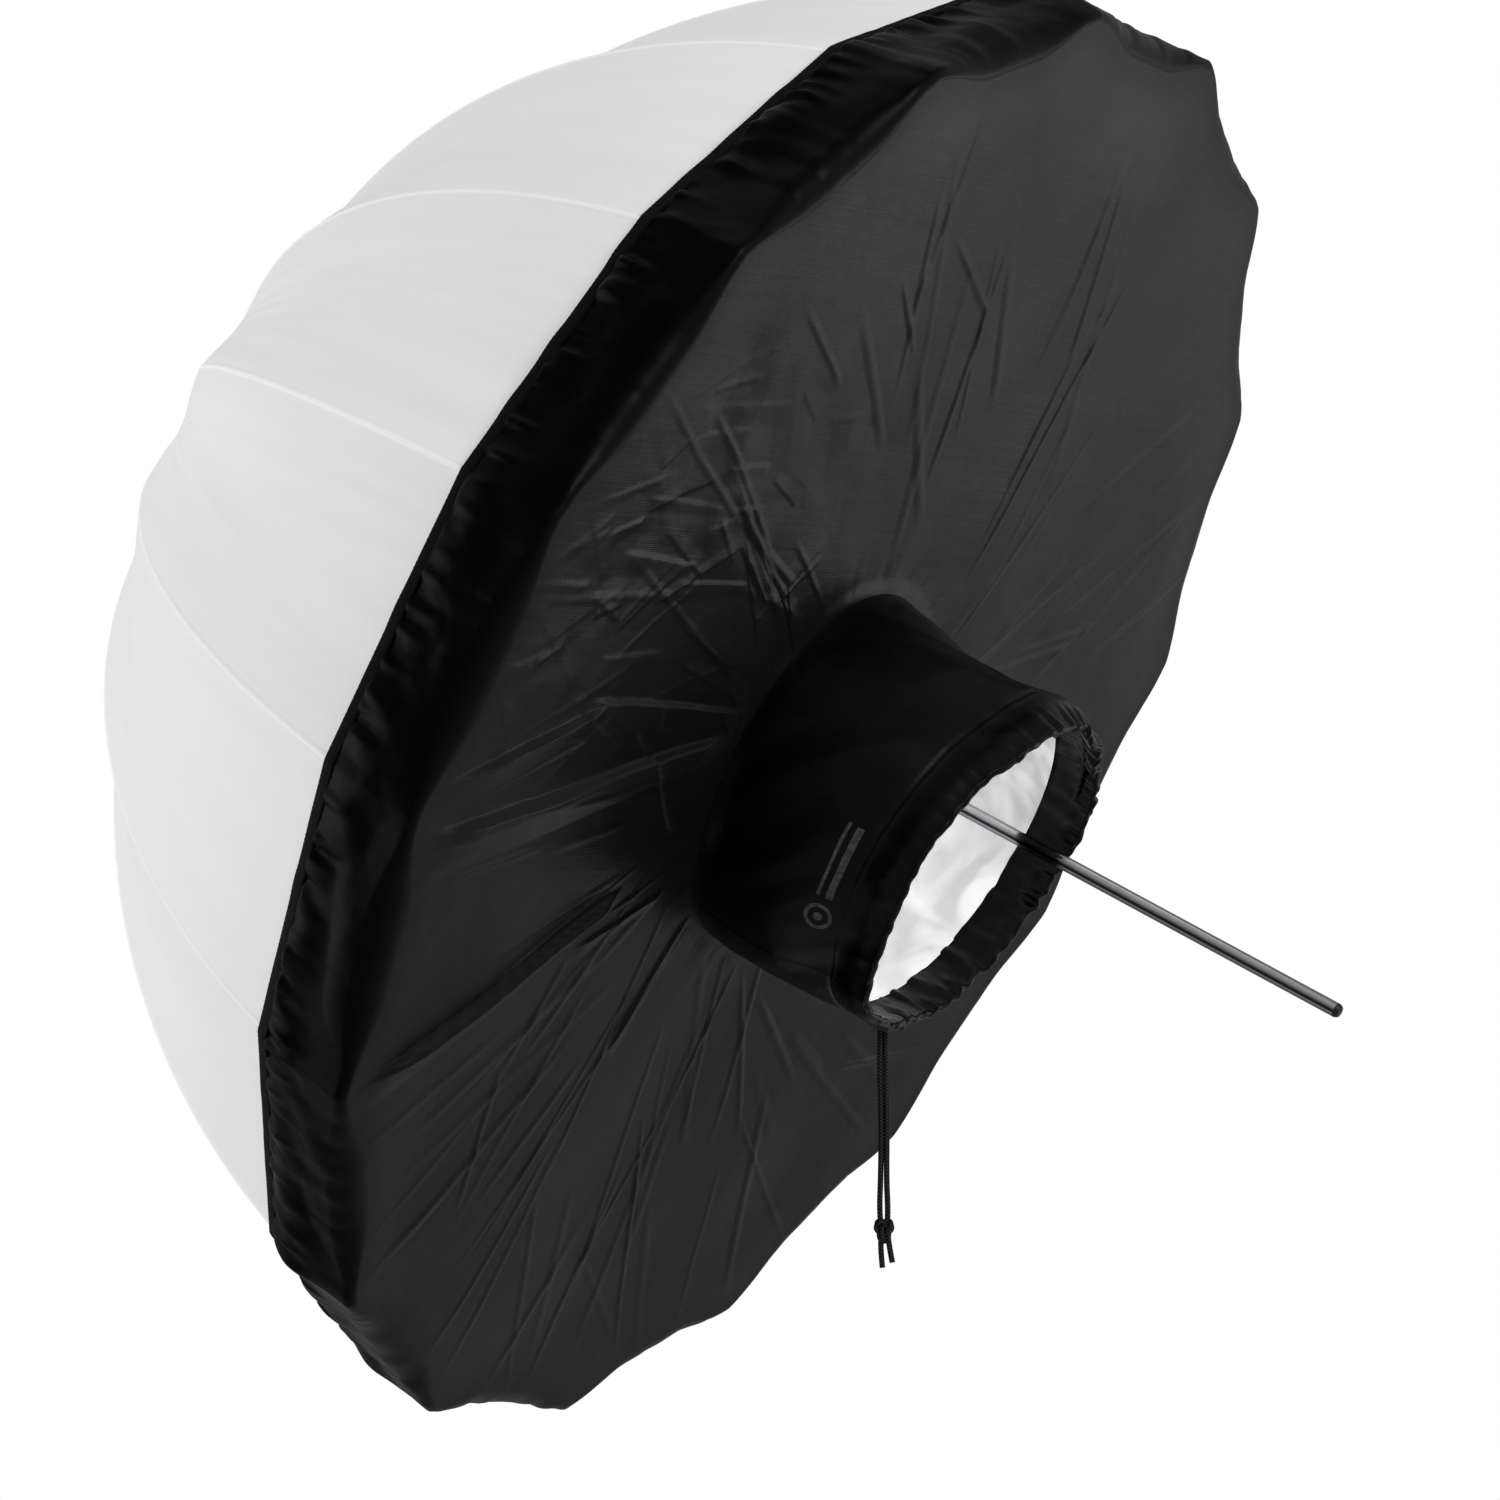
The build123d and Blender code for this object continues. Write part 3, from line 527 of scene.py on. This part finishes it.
# an overhand knot tied in both strands together
def makeKnot(centre, look):
    turns = np.linspace(0, 2 * math.pi, look["steps"], endpoint=False)
    rings = []
    for twist in (0.0, math.pi / 3):
        x = np.sin(turns) + 2 * np.sin(2 * turns)
        z = np.cos(turns) - 2 * np.cos(2 * turns)
        y = -np.sin(3 * turns)
        turnedX = x * math.cos(twist) - y * math.sin(twist)
        turnedY = x * math.sin(twist) + y * math.cos(twist)
        path = np.stack([turnedX, turnedY, z], 1) / 3 * np.array(look["half"]) + np.array(centre)
        tangent = np.roll(path, -1, 0) - np.roll(path, 1, 0)
        tangent /= np.linalg.norm(tangent, axis=1)[:, None]
        across = np.cross(tangent, (0.3, 0.9, 0.2))
        across /= np.linalg.norm(across, axis=1)[:, None]
        over = np.cross(tangent, across)
        spin = np.linspace(0, 2 * math.pi, look["sides"], endpoint=False)
        rings.append(path[:, None] + look["radius"] * (np.cos(spin)[None, :, None] * across[:, None]
                                                       + np.sin(spin)[None, :, None] * over[:, None]))
    made = []
    for number, ring in enumerate(rings):
        uv = np.stack(np.meshgrid(np.arange(look["sides"]) * 0.0008, turns * 0.003), -1)
        made.append(gridMesh("drawcord_knot_turn_%d" % (number + 1), ring, uv, ring=True, ringRows=True,
                             slots=[blackBraid]))
    return made


# the direction from one strand to the other, from the y axis towards the x axis
strandTurn = math.radians(63.5)
beside = Vector((math.sin(strandTurn), math.cos(strandTurn), 0)) * cordLook["gap"] / 2
strands = [makeStrand("drawcord_front", -beside), makeStrand("drawcord_back", beside)]
knotTurns = makeKnot(Vector(cordLook["exit"]) + Vector((0.0009, 0, -0.112)),
                     {"steps": 96, "sides": 10, "radius": 0.0015, "half": (0.0048, 0.0048, 0.0064)})
for obj, name in ((strands[0][0], "drawcord_front"), (strands[1][0], "drawcord_back")):
    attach(obj, "back_panel")
    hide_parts(name)
for obj in knotTurns:
    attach(obj, "back_panel")
    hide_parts("drawcord_knot")
print("drawcord made")

# canopy: one gore piece over each rib, from mid-gore to mid-gore
canopyLayout = {"offset": 0.003, "rimFraction": 0.983, "crownFraction": 0.012, "columns": 26, "rows": 110,
                "seamHalf": 0.0009, "seamRise": 0.0005, "sag": 0.0045}


def makeGore(number, look):
    ribAngle = ribPhase + number * goreAngle
    fraction = np.linspace(look["crownFraction"], look["rimFraction"], look["rows"])[:, None]
    radius, station = bowAt(fraction, look["offset"])
    # columns: plain cloth on both sides, and the raised seam between
    spread = np.linspace(0, 1, look["columns"])[1:] ** 1.1
    seam = np.minimum(look["seamHalf"] / radius, halfGore * 0.3)
    right = seam * 1.6 + (halfGore - seam * 1.6) * spread
    angle = np.concatenate([-right[:, ::-1], -seam * 1.6, -seam, seam * 0, seam, seam * 1.6, right], 1)
    onSeam = np.concatenate([0 * right, 0 * seam, seam * 0 + 1, seam * 0 + 1.25, seam * 0 + 1, 0 * seam,
                             0 * right], 1)
    share = math.cos(halfGore) / np.cos(halfGore - np.abs(angle))
    # between its ribs the cloth pulls in a little, most halfway from the crown to the rim
    between = np.sin(math.pi * np.abs(angle) / goreAngle) ** 2
    body = np.sin(math.pi * np.clip(fraction, 0, 1)) ** 0.7
    across = angle * radius
    length = fraction * bowLength
    drawn = -look["sag"] * between * body
    # faint pulls running from rib to rib, the same seen from either rib
    worldAngle = ribAngle + angle
    pulls = noise(worldAngle * 0.9, length + 0 * angle, 0.06, 31) * 0.0006 \
        + noise(worldAngle * 1.0, length * 0.25 + 0 * angle, 0.02, 32) * 0.0005
    # they fade out where the last gore meets the first, so that those edges meet too
    apart = smooth(np.abs(np.sin((worldAngle - ribPhase + halfGore) / 2)), 0.0, 0.12)
    drawn = drawn + pulls * between * body * apart
    bowed = bowStart + 2 * bowHalf * fraction
    rise = drawn + look["seamRise"] * onSeam
    r = radius * share + rise * np.cos(bowed)
    z = station + 0 * angle + rise * np.sin(bowed)
    points = toWorld(r * np.cos(ribAngle + angle), r * np.sin(ribAngle + angle), z)
    uv = np.stack([across + number * 0.4, length + 0 * angle], -1)
    parts = np.zeros(points.shape[1] - 1)
    parts[look["columns"] - 1:look["columns"] + 3] = 1  # the seam's four columns of faces
    name = "canopy_gore_%02d" % (number + 1)
    obj = gridMesh(name, points, uv, slots=[canopyCloth, canopySeam], parts=parts[None, :])
    arm = "rib_%02d_arm" % (number + 1)
    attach(obj, arm)
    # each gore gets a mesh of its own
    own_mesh(obj)
    return obj


gores = []
for number in range(ribCount):
    gore = makeGore(number, canopyLayout)
    own = number + 1 if number % 2 == 0 else number
    panels = ["canopy_panel_%02d" % own]
    if number % 2:
        panels.append("canopy_panel_%02d" % ((number + 1) % ribCount + 1))
    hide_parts(*panels)
    gores.append(gore)
print("canopy made")

# back panel: the black face, its fold over the rib tips and the band behind them
panelLayout = {"faceStation": 0.0036, "bandBack": -0.0595, "offset": 0.0045, "corner": 0.0048,
               "openCorner": 0.014, "girth": 0.43, "columns": 1400, "faceRows": 215, "cornerRows": 10,
               "bandRows": 34}
sleeveLayout = {"baseRadius": 0.106, "mouthRadius": 0.098, "baseDrop": 0.021, "mouthDrop": 0.029,
                "reach": 0.124, "topLean": 0.012, "bottomLean": 0.009, "girth": 0.103, "columns": 480}
# the folds that the sleeve's weight and the gathers pull in the face, in metres up and to the side
faceFolds = [
    {"start": (-0.099, 0.168), "end": (-0.212, 0.364), "width": 0.0105, "height": 0.0075},
    {"start": (-0.098, 0.117), "end": (-0.130, 0.186), "width": 0.0050, "height": 0.0018},
    {"start": (-0.008, 0.124), "end": (-0.070, 0.400), "width": 0.0150, "height": 0.0062},
    {"start": (0.008, 0.120), "end": (0.010, 0.290), "width": 0.0110, "height": 0.0040},
    {"start": (0.010, 0.280), "end": (-0.042, 0.415), "width": 0.0120, "height": 0.0040},
    {"start": (0.001, 0.222), "end": (-0.022, 0.180), "width": 0.0034, "height": 0.0014},
    {"start": (-0.019, 0.184), "end": (-0.058, 0.134), "width": 0.0034, "height": 0.0015},
    {"start": (-0.112, 0.070), "end": (-0.194, 0.096), "width": 0.0060, "height": 0.0016}]


# how slack the face's cloth is, from 0 to 1
def slackAt(x, y):
    sideways = smooth(y, 0.03, 0.13) * (1 - smooth(y, 0.36, 0.43))
    return sideways * smooth(x, -0.06, 0.03) * (1 - smooth(x, 0.17, 0.28))


def facePull(x, y):
    # distance out from the sleeve's base, and from the shaft
    out = np.hypot(x + sleeveLayout["baseDrop"], y) - sleeveLayout["baseRadius"]
    reach = np.hypot(x, y)
    height = 0.0024 * noise(x, y, 0.16, 3) + 0.0008 * noise(x, y, 0.07, 4)
    # crumpled cloth beside and above the sleeve, on the side that the gathers slacken
    slack = slackAt(x, y)
    height = height + slack * 0.0026 * crumple(x, y, 0.062, 11)
    # a lighter crumple all over
    height = height + (1 - slack) * 0.0007 * crumple(x, y * 0.45, 0.075, 21)
    for place in faceFolds:
        height = height + flatFold(x, y, place["start"], place["end"], place["width"], place["height"])
    # short pressed creases in the slack cloth, in three leanings
    crease = np.random.default_rng(8)
    for number in range(58):
        start = (crease.uniform(0.01, 0.20), crease.uniform(0.12, 0.40))
        lean = crease.choice([-2.0, -1.05, 1.9]) + crease.normal(0, 0.22)
        length = crease.uniform(0.025, 0.10)
        end = (start[0] + length * math.cos(lean), start[1] + length * math.sin(lean))
        tall = crease.uniform(0.0003, 0.0009) * slackAt(np.array(start[0]), np.array(start[1]))
        height = height + flatFold(x, y, start, end, crease.uniform(0.003, 0.009), tall)
    # long thin creases, most of them running out from the sleeve, each a little askew
    pick = np.random.default_rng(5)
    for number in range(120):
        angle = pick.uniform(0, 2 * math.pi)
        skew = pick.normal(0.35, 0.35)
        begin = pick.uniform(0.11, 0.30)
        length = pick.uniform(0.06, 0.22)
        start = (begin * math.cos(angle) - sleeveLayout["baseDrop"], begin * math.sin(angle))
        end = (start[0] + length * math.cos(angle + skew), start[1] + length * math.sin(angle + skew))
        tall = pick.uniform(0.0003, 0.0008)
        height = height + fold(x, y, start, end, pick.uniform(0.0018, 0.0042), tall, 0.4)
    # gathers at the sleeve's seam
    around = np.arctan2(y, x + sleeveLayout["baseDrop"])
    seamLength = around * sleeveLayout["baseRadius"]
    gathers = noise(seamLength, 0 * out, 0.006, 41) * 0.0009 * np.exp(-out / 0.012)
    gathers = gathers + noise(seamLength, 0 * out, 0.018, 42) * 0.0009 * np.exp(-out / 0.035)
    height = height + gathers * smooth(out, 0, 0.006)
    # held flat at the rim and at the seam
    held = smooth(out, 0.0, 0.012) * (1 - smooth(reach, 0.36, 0.425))
    return height * held


def makePanel(look):
    angle = np.linspace(0, 2 * math.pi, look["columns"], endpoint=False)[None, :]
    share = chordShare(angle)
    # tight over each rib tip, rounder between the ribs where nothing holds it
    between = smooth(np.abs(fromRib(angle)) / halfGore, 0.06, 0.7)
    corner = look["corner"] + (look["openCorner"] - look["corner"]) * between
    rimR = bowRadiusAt(look["faceStation"] - corner, look["offset"]) * share
    innerX = -sleeveLayout["baseDrop"] + sleeveLayout["baseRadius"] * np.cos(angle)
    innerY = sleeveLayout["baseRadius"] * np.sin(angle)
    outerX, outerY = (rimR - corner) * np.cos(angle), (rimR - corner) * np.sin(angle)
    part = (np.linspace(0, 1, look["faceRows"]) ** 0.9)[:, None]
    x, y = innerX + (outerX - innerX) * part, innerY + (outerY - innerY) * part
    z = look["faceStation"] + facePull(x, y)
    faceLength = np.hypot(outerX - innerX, outerY - innerY) * part
    # round the corner over the rib tips
    bend = np.linspace(0, math.pi / 2, look["cornerRows"] + 1)[1:, None]
    girth = angle * look["girth"]
    edge = noise(girth, 0 * bend, 0.03, 51) * 0.0012 + noise(girth, 0 * bend, 0.011, 52) * 0.0008
    cornerR = rimR - corner + corner * np.sin(bend) + np.abs(edge) * np.sin(bend)
    cornerZ = look["faceStation"] - corner + corner * np.cos(bend) + 0 * angle
    cx, cy = cornerR * np.cos(angle), cornerR * np.sin(angle)
    # the band, puckered towards the elastic and loosely folded in its middle
    down = np.linspace(0, 1, look["bandRows"] + 1)[1:, None]
    station = (look["faceStation"] - corner) + (look["bandBack"] - look["faceStation"] + corner) * down
    bandR = bowRadiusAt(station, look["offset"]) * share
    deep = smooth(down, 0.25, 1.0)
    pucker = np.maximum(0, noise(girth + 0 * down, down * 0.01, 0.0065, 61) + 0.25) * 0.0042 * deep ** 1.5
    pucker = pucker + np.maximum(0, noise(girth + down * 0.012, 0.02 * down, 0.013, 62)) * 0.0036 * deep
    midway = np.sin(math.pi * down)
    loose = np.maximum(0, noise(girth + 0.02 * down, down * 0.06, 0.05, 63) + 0.1) * 0.0062 * midway
    loose = loose + np.maximum(0, crumple(girth + 0 * down, down * 0.06, 0.034, 64)) * 0.0024 * midway
    nip = 1 - smooth(down, 0.93, 1.0)
    bandR = bandR + (np.abs(edge[-1:]) * (1 - down) + pucker + loose) * nip
    bx, by = bandR * np.cos(angle), bandR * np.sin(angle)
    xs, ys = np.concatenate([x, cx, bx]), np.concatenate([y, cy, by])
    zs = np.concatenate([z, cornerZ, station + 0 * angle])
    points = toWorld(xs, ys, zs)
    span = faceLength[-1:] + np.concatenate([corner * bend, corner * math.pi / 2 + 0.057 * down])
    uv = np.stack([np.concatenate([x, girth + 0 * span]), np.concatenate([y, span])], -1)
    obj = gridMesh("back_panel_cloth", points, uv, ring=True, slots=[panelCloth])
    # the material reads how far round the fold a point is, and how slack the cloth is there
    # painted shade: these shares darken the cloth from the face's outer edge round the fold to the band
    faceEdgeShade, foldShade = smooth(part, 0.93, 1.0) * 0.3, 0.3 + 0.7 * bend / (math.pi / 2)
    zone = np.concatenate([faceEdgeShade, foldShade, down * 0 + 1]) + 0 * angle
    slack = np.concatenate([slackAt(x, y), 0 * cornerR, 0 * bandR])
    corners = np.zeros(len(obj.data.loops), np.int32)
    obj.data.loops.foreach_get("vertex_index", corners)
    both = np.stack([zone.reshape(-1)[corners], slack.reshape(-1)[corners]], 1)
    obj.data.uv_layers.new(name="zone").data.foreach_set("uv", both.astype(np.float32).ravel())
    return obj


panel = makePanel(panelLayout)
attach(panel, "back_panel")
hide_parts("back_panel_face", "back_panel_band")

# elastic binding along the band's back edge
hemLayout = {"front": -0.0562, "back": -0.0640, "inner": 0.0036, "outer": 0.0061, "girth": 0.42,
             "columns": 1800, "ribPitch": 0.0032}


def makeHem(look):
    angle = np.linspace(0, 2 * math.pi, look["columns"], endpoint=False)[None, :]
    turn = np.linspace(0, 2 * math.pi, 14, endpoint=False)[:, None]
    middle, half = (look["front"] + look["back"]) / 2, (look["front"] - look["back"]) / 2
    depth = (look["outer"] - look["inner"]) / 2
    # a flattened tube with a slightly squared section
    z = middle + half * np.sign(np.cos(turn)) * np.abs(np.cos(turn)) ** 0.6
    offset = (look["inner"] + depth) + depth * np.sign(np.sin(turn)) * np.abs(np.sin(turn)) ** 0.6
    girth = angle * look["girth"]
    rib = 0.00035 * np.cos(2 * math.pi * girth / look["ribPitch"]) * np.maximum(0, np.sin(turn))
    wander = noise(girth, 0 * turn, 0.02, 71) * 0.0009
    r = bowRadiusAt(z, 0.0) * chordShare(angle) + offset + rib + np.maximum(wander, 0)
    points = toWorld(r * np.cos(angle), r * np.sin(angle), z + wander * 0.8)
    uv = np.stack([girth + 0 * turn, turn * 0.003 + 0 * angle], -1)
    return gridMesh("back_panel_elastic", points, uv, ring=True, ringRows=True, slots=[hemBinding])


hem = makeHem(hemLayout)
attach(hem, "back_panel")
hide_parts("back_panel_hem")
print("back panel made")


# sleeve: outer shell, gathered cuff with its channel, and the white lining
def sleevePoint(angle, station, radius):
    # the drawcord's weight pulls the mouth back at the bottom, and it stands forward at the top
    lean = np.where(np.cos(angle) > 0, sleeveLayout["topLean"], sleeveLayout["bottomLean"]) * np.cos(angle)
    station = station + lean * smooth(station, 0.02, 0.115)
    drop = -(sleeveLayout["baseDrop"] + (sleeveLayout["mouthDrop"] - sleeveLayout["baseDrop"])
             * station / sleeveLayout["reach"])
    return toWorld(drop + radius * np.cos(angle), radius * np.sin(angle), station)


def sleeveRadius(station):
    return sleeveLayout["baseRadius"] + (sleeveLayout["mouthRadius"] - sleeveLayout["baseRadius"]) \
        * station / sleeveLayout["reach"]


# how far the sleeve's cloth stands out from or falls in behind a plain cone
def sleevePull(angle, station):
    wrapped = (angle + math.pi) % (2 * math.pi) - math.pi
    # a saddle on its upper side where the cloth has no support
    saddle = -0.0085 * bell(wrapped, -0.3, 0.55) * bell(station, 0.058, 0.026)
    saddle = saddle + 0.0095 * bell(wrapped, -0.35, 0.6) * bell(station, 0.104, 0.021)
    girth = angle * sleeveLayout["girth"]
    slanted = girth + station * 0.55
    soft = 0.0024 * noise(slanted, station, 0.055, 81) + 0.0024 * crumple(slanted, station * 0.6, 0.045, 82)
    # tight gathers by the mouth, fewer on the near side where the cord lies slack
    slackSide = 1 - 0.7 * smooth(np.sin(angle), -0.3, 0.6)
    gathers = noise(girth, 0 * station, 0.0046, 83) * 0.0030 * slackSide * bell(station, 0.119, 0.008)
    nearMouth = smooth(station, 0.07, 0.118)
    gathers = gathers + noise(girth + station * 0.2, 0.2 * station, 0.013, 84) * 0.0017 * nearMouth
    base = noise(girth, 0 * station, 0.012, 85) * 0.0012 * np.exp(-station / 0.012)
    # kinked facets where the saddle turns up into the channel
    facet = bell(wrapped, -0.45, 0.5) * bell(station, 0.085, 0.02)
    soft = soft + 0.0042 * facet * crumple(girth, station, 0.030, 87)
    # the lengthwise seam on its lower side
    seam = 0.0009 * bell((wrapped - 2.45) * 0.104, 0, 0.0012)
    # it swells a little between its seam and its channel
    belly = 0.0042 * np.sin(math.pi * np.clip(station / 0.1, 0, 1))
    return saddle + belly + (soft + gathers + base + seam) * smooth(station, 0.004, 0.016)


# the mouth's edge runs unevenly because the drawcord gathers it
def mouthWander(angle, station):
    girth = angle * sleeveLayout["mouthRadius"]
    tight = 1 - 0.6 * smooth(np.sin(angle), -0.3, 0.6)
    fine = noise(girth, 0 * station, 0.0055, 91) * 0.0013 * tight
    broad = noise(girth, 0 * station, 0.03, 92) * 0.0022
    return (fine + broad) * smooth(station, 0.09, 0.124)


def ringAngles():
    return np.linspace(0, 2 * math.pi, sleeveLayout["columns"], endpoint=False)[None, :]


def makeShell(look):
    angle = ringAngles()
    station = np.linspace(look["from"], look["to"], look["rows"])[:, None]
    flare = 0.0008 * np.exp(-(station - look["from"]) / 0.003)
    # a line of stitching closes the drawcord's channel
    stitched = -0.0005 * bell(station, look["stitchLine"], 0.0012)
    r = sleeveRadius(station) + sleevePull(angle, station) + flare + stitched
    points = sleevePoint(angle, station + 0 * angle, r)
    uv = np.stack([angle * sleeveLayout["girth"] + 0 * station, station + 0 * angle], -1)
    return gridMesh("sleeve_shell", points, uv, ring=True, slots=[sleeveCloth])


def makeCuff(look):
    angle = ringAngles()
    # from the outer side over the mouth's edge and back inside
    outer = np.linspace(look["stitchLine"], look["edge"], look["rows"])[:, None]
    lip = np.linspace(0, math.pi, 9)[1:-1, None]
    inner = np.linspace(look["edge"], look["inside"], look["rows"])[:, None]
    half = look["thickness"] / 2
    rOuter = sleeveRadius(outer) + sleevePull(angle, outer) + 0.0003 + 0.0007 * bell(outer, 0.112, 0.006)
    rEdge = sleeveRadius(look["edge"]) + sleevePull(angle, look["edge"] + 0 * angle) + 0.0006 - half * 1.2
    rLip = rEdge + half * 1.2 * np.cos(lip)
    zLip = look["edge"] + half * 0.9 * np.sin(lip)
    girth = angle * sleeveLayout["mouthRadius"]
    pleat = noise(girth, inner * 0.3, 0.006, 95) * 0.0013 * smooth(look["edge"] - inner, 0.0, 0.01)
    innerPull = sleevePull(angle, inner) * smooth(inner, 0.07, 0.12)
    rInner = sleeveRadius(inner) + innerPull - look["thickness"] + pleat
    r = np.concatenate([rOuter, rLip, rInner])
    z = np.concatenate([outer, zLip, inner]) + 0 * angle
    z = z + mouthWander(angle, z)
    points = sleevePoint(angle, z, r)
    length = np.concatenate([outer, look["edge"] + lip * half, 2 * look["edge"] - inner + 0.006])
    uv = np.stack([girth + 0 * z, length + 0 * angle], -1)
    return gridMesh("sleeve_cuff_channel", points, uv, ring=True, slots=[sleeveCloth])


def makeLining(look):
    angle = ringAngles()
    station = np.linspace(look["from"], look["to"], look["rows"])[:, None]
    girth = angle * 0.1
    loose = 0.0030 * noise(girth + station * 0.3, station, 0.035, 101) \
        + 0.0016 * crumple(girth + station * 0.5, station, 0.03, 102)
    middle = np.sin(math.pi * (station - look["from"]) / (look["to"] - look["from"])) ** 0.6
    r = sleeveRadius(station) + np.minimum(0, sleevePull(angle, station)) * middle - look["inset"] \
        - np.abs(loose) * middle
    points = sleevePoint(angle, station + 0 * angle, r)
    uv = np.stack([girth + 0 * station, station + 0 * angle], -1)
    return gridMesh("sleeve_lining_cloth", points, uv, ring=True, slots=[liningCloth])


def makeLoop(look):
    angle = ringAngles()
    turn = np.linspace(0, 2 * math.pi, 8, endpoint=False)[:, None]
    station = look["station"] + look["radius"] * np.cos(turn) + 0 * angle
    middle = look["station"] + 0 * angle
    r = sleeveRadius(middle) + np.minimum(sleevePull(angle, middle), 0.002) - look["inset"]
    points = sleevePoint(angle, station, r + look["radius"] * np.sin(turn))
    uv = np.stack([angle * 0.1 + 0 * turn, turn * 0.0015 + 0 * angle], -1)
    return gridMesh("drawcord_loop_braid", points, uv, ring=True, ringRows=True, slots=[blackBraid])


loop = makeLoop({"station": 0.112, "radius": 0.0013, "inset": 0.0022})
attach(loop, "back_panel")
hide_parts("drawcord_loop")
shell = makeShell({"from": 0.0030, "to": 0.1005, "rows": 90, "stitchLine": 0.096})
cuff = makeCuff({"stitchLine": 0.098, "edge": 0.1215, "inside": 0.0945, "rows": 26, "thickness": 0.0044})
lining = makeLining({"from": 0.0042, "to": 0.0952, "rows": 60, "inset": 0.0042})
for obj, name, finish, flat in ((shell, "sleeve", "black_cloth", (0.666, 0.100)),
                                (cuff, "sleeve_cuff", "black_cloth", (0.640, 0.056)),
                                (lining, "sleeve_lining", "white_lining", (0.640, 0.093))):
    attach(obj, "back_panel")
    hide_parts(name)


# a plain printed mark beside the channel: a ring, a dot in it and two bars
def makeMark(look):
    rows, columns = look["rows"], look["columns"]
    angle = np.linspace(look["fromAngle"], look["toAngle"], columns)[None, :]
    station = np.linspace(look["fromStation"], look["toStation"], rows)[:, None]
    r = sleeveRadius(station) + sleevePull(angle, station) + look["rise"]
    points = sleevePoint(angle, station + 0 * angle, r)
    across = (angle - look["ringAngle"]) * 0.102 + 0 * station
    forward = station - look["ringStation"] + 0 * angle
    out = np.hypot(across, forward)
    wideBar = np.abs(forward - 0.003) < 0.0022
    thinBar = np.abs(forward + 0.0035) < 0.0012
    bars = (wideBar | thinBar) & (across < -0.013) & (across > -0.058)
    shown = ((out < 0.0085) & (out > 0.0058)) | (out < 0.0028) | bars
    uv = np.stack([across, forward], -1)
    obj = gridMesh("sleeve_print", points, uv, slots=[greyPrint])
    inside = shown[:-1, :-1] & shown[1:, :-1] & shown[:-1, 1:] & shown[1:, 1:]
    edit = bmesh.new()
    edit.from_mesh(obj.data)
    edit.faces.ensure_lookup_table()
    hidden = [edit.faces[i] for i in np.flatnonzero(~inside.reshape(-1))]
    bmesh.ops.delete(edit, geom=hidden, context="FACES")
    edit.to_mesh(obj.data)
    edit.free()
    return obj


mark = makeMark({"rows": 110, "columns": 420, "fromAngle": 1.3, "toAngle": 2.2, "fromStation": 0.068,
                 "toStation": 0.098, "ringAngle": 2.02, "ringStation": 0.084, "rise": 0.00025})
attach(mark, "back_panel")
print("sleeve made")

# floor, world and light
floorLook = {"height": -0.75, "radius": 3.0}
floorAngles = np.linspace(0, 2 * math.pi, 96, endpoint=False)[None, :]
floorRadii = np.linspace(0.001, floorLook["radius"], 12)[:, None]
floorPoints = np.stack([floorRadii * np.cos(floorAngles), floorRadii * np.sin(floorAngles),
                        floorLook["height"] + 0 * floorRadii * floorAngles], -1)
floorMaterial = newMaterial("pale_floor", {"Roughness": 0.7, "Base Color": linear("#C9C9C9")})[0]
floor = gridMesh("floor", floorPoints, floorPoints[..., :2], ring=True, slots=[floorMaterial])
floor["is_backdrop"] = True

world = bpy.data.worlds.new("studio")
scene.world = world
world.use_nodes = True
worldTree = world.node_tree
worldTree.nodes.clear()
# seen directly it is plain white; as light it is weaker
white, seenStrength, lightStrength = (1, 1, 1, 1), 1.0, 0.36
seen = addNode(worldTree, "ShaderNodeBackground", {"Color": white, "Strength": seenStrength})
lit = addNode(worldTree, "ShaderNodeBackground", {"Color": white, "Strength": lightStrength})
ray = addNode(worldTree, "ShaderNodeLightPath")
both = addNode(worldTree, "ShaderNodeMixShader", {0: ray.outputs["Is Camera Ray"], 1: lit.outputs[0],
                                                  2: seen.outputs[0]})
addNode(worldTree, "ShaderNodeOutputWorld", {"Surface": both.outputs[0]})


def addLight(name, place, size, power):
    data = bpy.data.lights.new(name, "AREA")
    data.shape = "DISK"
    data.size = size
    data.energy = power
    obj = bpy.data.objects.new(name, data)
    obj.location = place
    obj.rotation_euler = (Vector(place) - rimCentre).to_track_quat("Z", "Y").to_euler()
    scene.collection.objects.link(obj)


addLight("left_softbox", (-2.9, -1.0, 0.0), 2.4, 31)
addLight("top_softbox", (-0.6, 0.2, 2.9), 2.0, 4)
addLight("front_softbox", (1.3, -0.75, 1.0), 0.7, 10)
addLight("right_softbox", (1.45, 2.31, -0.45), 1.3, 6)
scene.view_settings.view_transform = "Standard"
print("stage made")

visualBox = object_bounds()
{"cad": [list(corner) for corner in cadBox], "visual": [list(corner) for corner in visualBox]}
